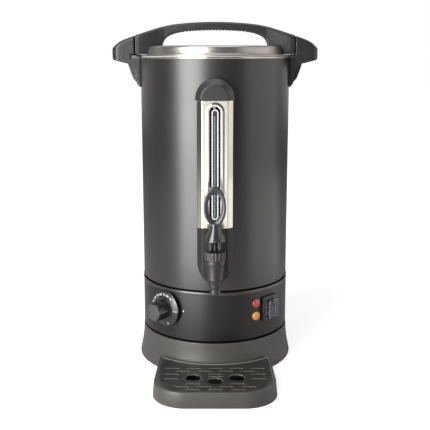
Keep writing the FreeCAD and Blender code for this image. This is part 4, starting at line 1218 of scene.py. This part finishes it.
@dataclass
class Controls:
    """The knob, the two lamps and the covered rocker switch."""

    shop: Shop
    height: float = 96.0 * MM
    band_radius: float = 112.0 * MM
    knob_azimuth: float = -39.75
    skirt_radius: float = 27.0 * MM
    skirt_face: float = 6.0 * MM
    shaft_hole: float = 3.1 * MM
    hub_radius: float = 15.0 * MM
    knob_length: float = 30.0 * MM
    number_radius: float = 21.8 * MM
    number_size: float = 5.2 * MM
    print_lift: float = 0.35 * MM
    skirt_slope: float = 13.0
    index_azimuth: float = -24.5
    lamp_azimuth: float = 32.6
    lamp_radius: float = 6.5 * MM
    red_height: float = 105.7 * MM
    amber_height: float = 86.1 * MM
    switch_azimuth: float = 46.0
    boot_width: float = 0.8
    boot_height: float = 0.88

    def build(self) -> None:
        """Makes the controls' pieces."""
        shop = self.shop
        self.make_knob()
        self.make_numbers()
        self.make_lamp("lamp_red", "red_lamp_lens", self.red_height, RED_LENS, "red_lens")
        self.make_lamp("lamp_amber", "amber_lamp_lens", self.amber_height, AMBER_LENS, "amber_lens")
        surround = shop.softened("switch_frame", "switch_surround", 0.5 * MM)
        shop.place(surround, "urn", FRAME_PLASTIC, "moulded_black", "switch_frame")
        shop.dress_nodes({
            "knob_shaft": PLAIN_STEEL,
            "switch_body": FRAME_PLASTIC,
            "switch_rocker": ROCKER_PLASTIC,
        })
        self.make_boot()
        self.make_index()

    def make_boot(self) -> None:
        """Makes the clear boot over the rocker, a little narrower than its frame."""
        spot = on_band(self.switch_azimuth, 0.0, self.height)
        narrow = Matrix.Diagonal((self.boot_width, self.boot_height, 1.0, 1.0))
        form = Shop.moved(Shop.source("switch_boot"), spot @ narrow @ spot.inverted())
        self.shop.put(form, "clear_boot", "urn", CLEAR_BOOT, "clear_boot", "switch_boot", angle=ROUNDED_ANGLE)

    def make_knob(self) -> None:
        """Makes the dial: a coned skirt with a six-sided grip and its lighter cap."""
        face = on_band(self.knob_azimuth, self.band_radius, self.height)
        outer, hole, level, end = self.skirt_radius, self.shaft_hole, self.skirt_face, self.knob_length
        skirt = Shop.lathe([
            (hole, 2 * MM), (outer - 1.0 * MM, 2 * MM), (outer - 0.2 * MM, 2.3 * MM), (outer, 3.0 * MM),
            (outer, 4.2 * MM), (outer - 0.4 * MM, 4.9 * MM), (outer - 1.2 * MM, 5.3 * MM),
            (outer - 9.0 * MM, level + 1.2 * MM), (outer - 9.6 * MM, level + 1.8 * MM),
            (hole, level + 1.8 * MM),
        ], 128)
        grip = self.hexagon(self.hub_radius, level, end - 1.2 * MM, 1.0)
        cap = self.hexagon(self.hub_radius - 1.2 * MM, end - 1.6 * MM, end - 0.1 * MM, 0.97)
        for form, name, finish, nodes in ((skirt, "dial_skirt", KNOB_PLASTIC, ("control_knob",)),
                                          (grip, "dial_grip", KNOB_PLASTIC, ()),
                                          (cap, "dial_cap", HUB_PLASTIC, ())):
            self.shop.put(Shop.moved(form, face), name, "knob", finish, "moulded_black", *nodes, angle=28.0)

    @staticmethod
    def hexagon(radius: float, low: float, high: float, taper: float) -> Form:
        """Makes a six-sided block with rounded corners.

        Args:
            radius: the reach of its corners.
            low: its lower level.
            high: its upper level.
            taper: the size of its upper face over its lower one.

        Returns:
            The closed form.
        """
        turns = [math.radians(60 * side + 30) for side in range(6, 0, -1)]
        corners = [(radius * math.sin(turn), radius * math.cos(turn)) for turn in turns]
        form = Shop.slab(Shop.rounded(corners, 3.2 * MM, 5), low, high)
        top = [vertex for vertex in form.verts if vertex.co.z > high - CLOSE]
        for vertex in top:
            vertex.co.x *= taper
            vertex.co.y *= taper
        rim = [edge for edge in form.edges if all(vertex in top for vertex in edge.verts)]
        Shop.bevel(form, rim, 0.9 * MM, 3)
        return form

    def number(self, label: str, clock: float) -> Form:
        """Raises one number on the knob's skirt.

        Args:
            label: what it says.
            clock: where it stands, in degrees clockwise from the top.

        Returns:
            Its form.
        """
        text = bpy.data.curves.new("number", "FONT")
        text.body = label
        text.size = self.number_size
        text.align_x = "CENTER"
        text.align_y = "CENTER"
        text.extrude = 0.25 * MM
        text.offset = 0.1 * MM
        holder = bpy.data.objects.new("number", text)
        bpy.context.scene.collection.objects.link(holder)
        mesh = bpy.data.meshes.new_from_object(holder.evaluated_get(bpy.context.evaluated_depsgraph_get()))
        bpy.data.objects.remove(holder)
        turn = math.radians(clock)
        spot = Matrix.Translation((self.number_radius * math.sin(turn), self.number_radius * math.cos(turn),
                                   self.skirt_face + self.print_lift))
        lean = Matrix.Rotation(math.radians(-self.skirt_slope), 4, "X")
        mesh.transform(on_band(self.knob_azimuth, self.band_radius, self.height) @ spot
                       @ Matrix.Rotation(-turn, 4, "Z") @ lean)
        form = bmesh.new()
        form.from_mesh(mesh)
        bpy.data.meshes.remove(mesh)
        return form

    def make_numbers(self) -> None:
        """Prints the numbers and the pointer line round the knob's skirt."""
        face = on_band(self.knob_azimuth, self.band_radius, self.height)
        forms = [self.number(label, clock) for label, clock in (
            ("30", -70.0), ("40", -52.0), ("50", -34.0), ("60", -16.0),
            ("70", 2.0), ("80", 20.0), ("90", 38.0), ("0", 158.0))]
        lean = (Matrix.Translation((self.number_radius, 0.0, 0.0))
                @ Matrix.Rotation(math.radians(self.skirt_slope), 4, "Y")
                @ Matrix.Translation((-self.number_radius, 0.0, 0.0)))
        lift = Matrix.Translation((0.0, 0.0, self.skirt_face + self.print_lift))
        outline = Shop.plate(18.6 * MM, -0.5 * MM, 25.6 * MM, 0.5 * MM, 0.3 * MM)
        forms.append(Shop.slab(outline, -0.9 * MM, 0.3 * MM, face @ lift @ lean))
        self.shop.put(Shop.merged(forms), "dial_numbers", "knob", WHITE_PRINT, "moulded_black")

    def make_lamp(self, node: str, name: str, height: float, finish: Finish, slot: str) -> None:
        """Makes one lamp lens with a domed, faceted front.

        Args:
            node: the frame's node.
            name: the piece's name.
            height: the lamp's height.
            finish: its finish.
            slot: the record's material slot.
        """
        radius, rim, dome, steps = self.lamp_radius, 1.4 * MM, 2.7 * MM, 9
        profile = [(0.0, -2.0 * MM), (radius - 0.9 * MM, -2.0 * MM), (radius - 0.9 * MM, -0.4 * MM),
                   (radius, -0.3 * MM), (radius, rim)]
        for step in range(1, steps):
            turn = math.radians(90 * step / steps)
            profile.append((radius * math.cos(turn), rim + dome * math.sin(turn)))
        profile.append((0.0, rim + dome))
        form = Shop.moved(Shop.lathe(profile, 20), on_band(self.lamp_azimuth, self.band_radius, height))
        self.shop.put(form, name, "urn", finish, slot, node, angle=12.0)

    def make_index(self) -> None:
        """Makes the small dimple on the band that the pointer is read against."""
        form = Shop.lathe([(0.0, -0.4 * MM), (1.1 * MM, -0.4 * MM), (1.1 * MM, 0.12 * MM),
                           (0.8 * MM, 0.3 * MM), (0.5 * MM, 0.1 * MM), (0.0, 0.05 * MM)], 24)
        Shop.moved(form, on_band(self.index_azimuth, self.band_radius, self.height))
        self.shop.put(form, "index_dimple", "urn", PLAIN_STEEL, "plain_steel")


@dataclass
class DripTray:
    """The tray on the table and the slotted grille in it."""

    shop: Shop
    edge_angle: float = 40.0

    def build(self) -> None:
        """Makes the tray's pieces."""
        shop = self.shop
        tray = shop.softened("drip_tray", "tray_moulding", 0.5 * MM, self.edge_angle)
        shop.place(tray, "tray", TRAY_PLASTIC, "moulded_black", "drip_tray")
        grille = shop.softened("drip_grille", "slotted_grille", 0.35 * MM, self.edge_angle, 2)
        shop.place(grille, "grille", GRILLE_PLASTIC, "moulded_black", "drip_grille")


@dataclass
class Studio:
    """The floor, the lights, the world and the camera."""

    floor_half: float = 6.0
    floor_gap: float = 0.2 * MM
    floor_tone: float = 0.5
    floor_roughness: float = 0.85
    glow_near: Point = (0.25, 0.68)
    glow_far: Point = (1.0, 1.0)
    room_front: Point = (-0.3, 0.05)
    room_back: Point = (0.9, 0.8)
    world_light: float = 0.1
    look_height: float = 0.25
    lens: float = 64.0
    sensor: float = 36.0
    clip: Point = (0.05, 60.0)
    camera_place: tuple[float, float, float] = (0.0, -1.1716, 0.4614)
    camera_dip: float = 11.25
    camera_rise: float = -0.01395

    def build(self) -> None:
        """Makes the studio."""
        self.make_floor()
        self.make_world()
        self.make_lights()
        self.make_camera()
        bpy.context.scene.view_settings.view_transform = "Standard"

    @staticmethod
    def ramp(tree: Tree, value: Socket, start: Point, end: Point) -> Socket:
        """Runs smoothly from one value to another.

        Args:
            tree: the tree it goes in.
            value: what it follows.
            start: where it starts, and its value there.
            end: where it ends, and its value there.

        Returns:
            Its result.
        """
        node = tree.nodes.new("ShaderNodeMapRange")
        node.interpolation_type = "SMOOTHSTEP"
        for label, number in zip(("From Min", "To Min", "From Max", "To Max"), (*start, *end)):
            node.inputs[label].default_value = number
        tree.links.new(value, node.inputs["Value"])
        return node.outputs["Result"]

    @staticmethod
    def seen(tree: Tree, path: bpy.types.Node) -> Socket:
        """Gives 1 for what the camera sees, straight or through glass."""
        straight, through = path.outputs["Is Camera Ray"], path.outputs["Is Transmission Ray"]
        return Groups.sum_up(tree, "MAXIMUM", straight, through)

    def make_floor(self) -> None:
        """Makes the pale floor, which shows white and keeps the shadow."""
        form = bmesh.new()
        half = self.floor_half
        form.faces.new([form.verts.new((x * half, y * half, -self.floor_gap))
                        for x, y in ((-1, -1), (1, -1), (1, 1), (-1, 1))])
        mesh = bpy.data.meshes.new("floor")
        form.to_mesh(mesh)
        form.free()
        floor = Shop.add("floor", mesh)
        material = bpy.data.materials.new("pale_floor")
        material.use_nodes = True
        tree = material.node_tree
        shader = tree.nodes["Principled BSDF"]
        shader.inputs["Base Color"].default_value = (self.floor_tone, self.floor_tone, self.floor_tone, 1.0)
        shader.inputs["Roughness"].default_value = self.floor_roughness
        shader.inputs["Emission Color"].default_value = (1.0, 1.0, 1.0, 1.0)
        seen = self.seen(tree, tree.nodes.new("ShaderNodeLightPath"))
        reach = tree.nodes.new("ShaderNodeVectorMath")
        reach.operation = "LENGTH"
        tree.links.new(tree.nodes.new("ShaderNodeTexCoord").outputs["Object"], reach.inputs[0])
        glow = self.ramp(tree, reach.outputs["Value"], self.glow_near, self.glow_far)
        tree.links.new(Groups.sum_up(tree, "MULTIPLY", seen, glow), shader.inputs["Emission Strength"])
        mesh.materials.append(material)

    def make_world(self) -> None:
        """Makes the world: white where it is seen, dim as light, and darker in front of the urn."""
        world = bpy.data.worlds.new("studio")
        world.use_nodes = True
        bpy.context.scene.world = world
        tree = world.node_tree
        background = tree.nodes["Background"]
        background.inputs["Color"].default_value = (1.0, 1.0, 1.0, 1.0)
        path = tree.nodes.new("ShaderNodeLightPath")
        split = tree.nodes.new("ShaderNodeSeparateXYZ")
        tree.links.new(tree.nodes.new("ShaderNodeTexCoord").outputs["Generated"], split.inputs[0])
        room = self.ramp(tree, split.outputs["Y"], self.room_front, self.room_back)
        gloss = Groups.sum_up(tree, "MULTIPLY", path.outputs["Is Glossy Ray"], room)
        bright = Groups.sum_up(tree, "MAXIMUM", self.seen(tree, path), gloss)
        strength = Groups.sum_up(tree, "MAXIMUM", bright, self.world_light)
        tree.links.new(strength, background.inputs["Strength"])

    def lamp(self, name: str, azimuth: float, elevation: float, distance: float, size: Point, power: float,
             colour: Colour) -> None:
        """Hangs one soft light that looks at the urn.

        Args:
            name: the light's name.
            azimuth: degrees from the front, positive to the right.
            elevation: degrees above the table.
            distance: metres from the urn's middle.
            size: its width and height.
            power: its power in watts.
            colour: its colour.
        """
        light = bpy.data.lights.new(name, "AREA")
        light.shape = "RECTANGLE"
        light.size, light.size_y = size
        light.energy = power
        light.color = colour
        holder = bpy.data.objects.new(name, light)
        bpy.context.scene.collection.objects.link(holder)
        turn, rise = math.radians(azimuth), math.radians(elevation)
        back = Vector((math.sin(turn) * math.cos(rise), -math.cos(turn) * math.cos(rise), math.sin(rise)))
        holder.location = Vector((0.0, 0.0, self.look_height)) + back * distance
        holder.visible_camera = False
        holder.rotation_euler = (-back).to_track_quat("-Z", "Y").to_euler()

    def make_lights(self) -> None:
        """Hangs the key on the left, the fill on the right, the top light and three low cards."""
        self.lamp("key", -37.0, 16.0, 1.9, (1.16, 1.9), 71.0, (1.0, 0.99, 0.97))
        self.lamp("front_card", -6.0, -2.0, 1.1, (0.62, 0.4), 1.0, (1.0, 0.98, 0.95))
        self.lamp("left_card", -31.0, -18.0, 0.45, (0.26, 0.22), 0.75, (1.0, 0.99, 0.97))
        self.lamp("right_card", 80.0, -18.0, 0.45, (0.5, 0.25), 0.36, (1.0, 0.95, 0.9))
        self.lamp("fill", 76.0, 16.0, 1.9, (2.2, 1.8), 13.6, (1.0, 0.95, 0.9))
        self.lamp("top", 0.0, 82.0, 1.7, (1.6, 1.6), 16.0, (1.0, 1.0, 1.0))

    def make_camera(self) -> None:
        """Sets the camera where the photograph's stood."""
        data = bpy.data.cameras.new("camera")
        data.lens = self.lens
        data.sensor_width = self.sensor
        data.shift_y = self.camera_rise
        data.clip_start, data.clip_end = self.clip
        camera = bpy.data.objects.new("camera", data)
        bpy.context.scene.collection.objects.link(camera)
        camera.location = self.camera_place
        camera.rotation_euler = (math.radians(90.0 - self.camera_dip), 0.0, 0.0)
        bpy.context.scene.camera = camera


def main() -> None:
    """Builds the studio and every sub-assembly in order."""
    logging.basicConfig(level=logging.INFO, format="%(name)s: %(message)s")
    Studio().build()
    shop = Shop()
    for part in (Vessel(shop), Lid(shop), Column(shop), Tap(shop), Controls(shop), DripTray(shop)):
        part.build()
        LOG.info("finished %s", type(part).__name__)


if __name__ == "__main__":
    main()
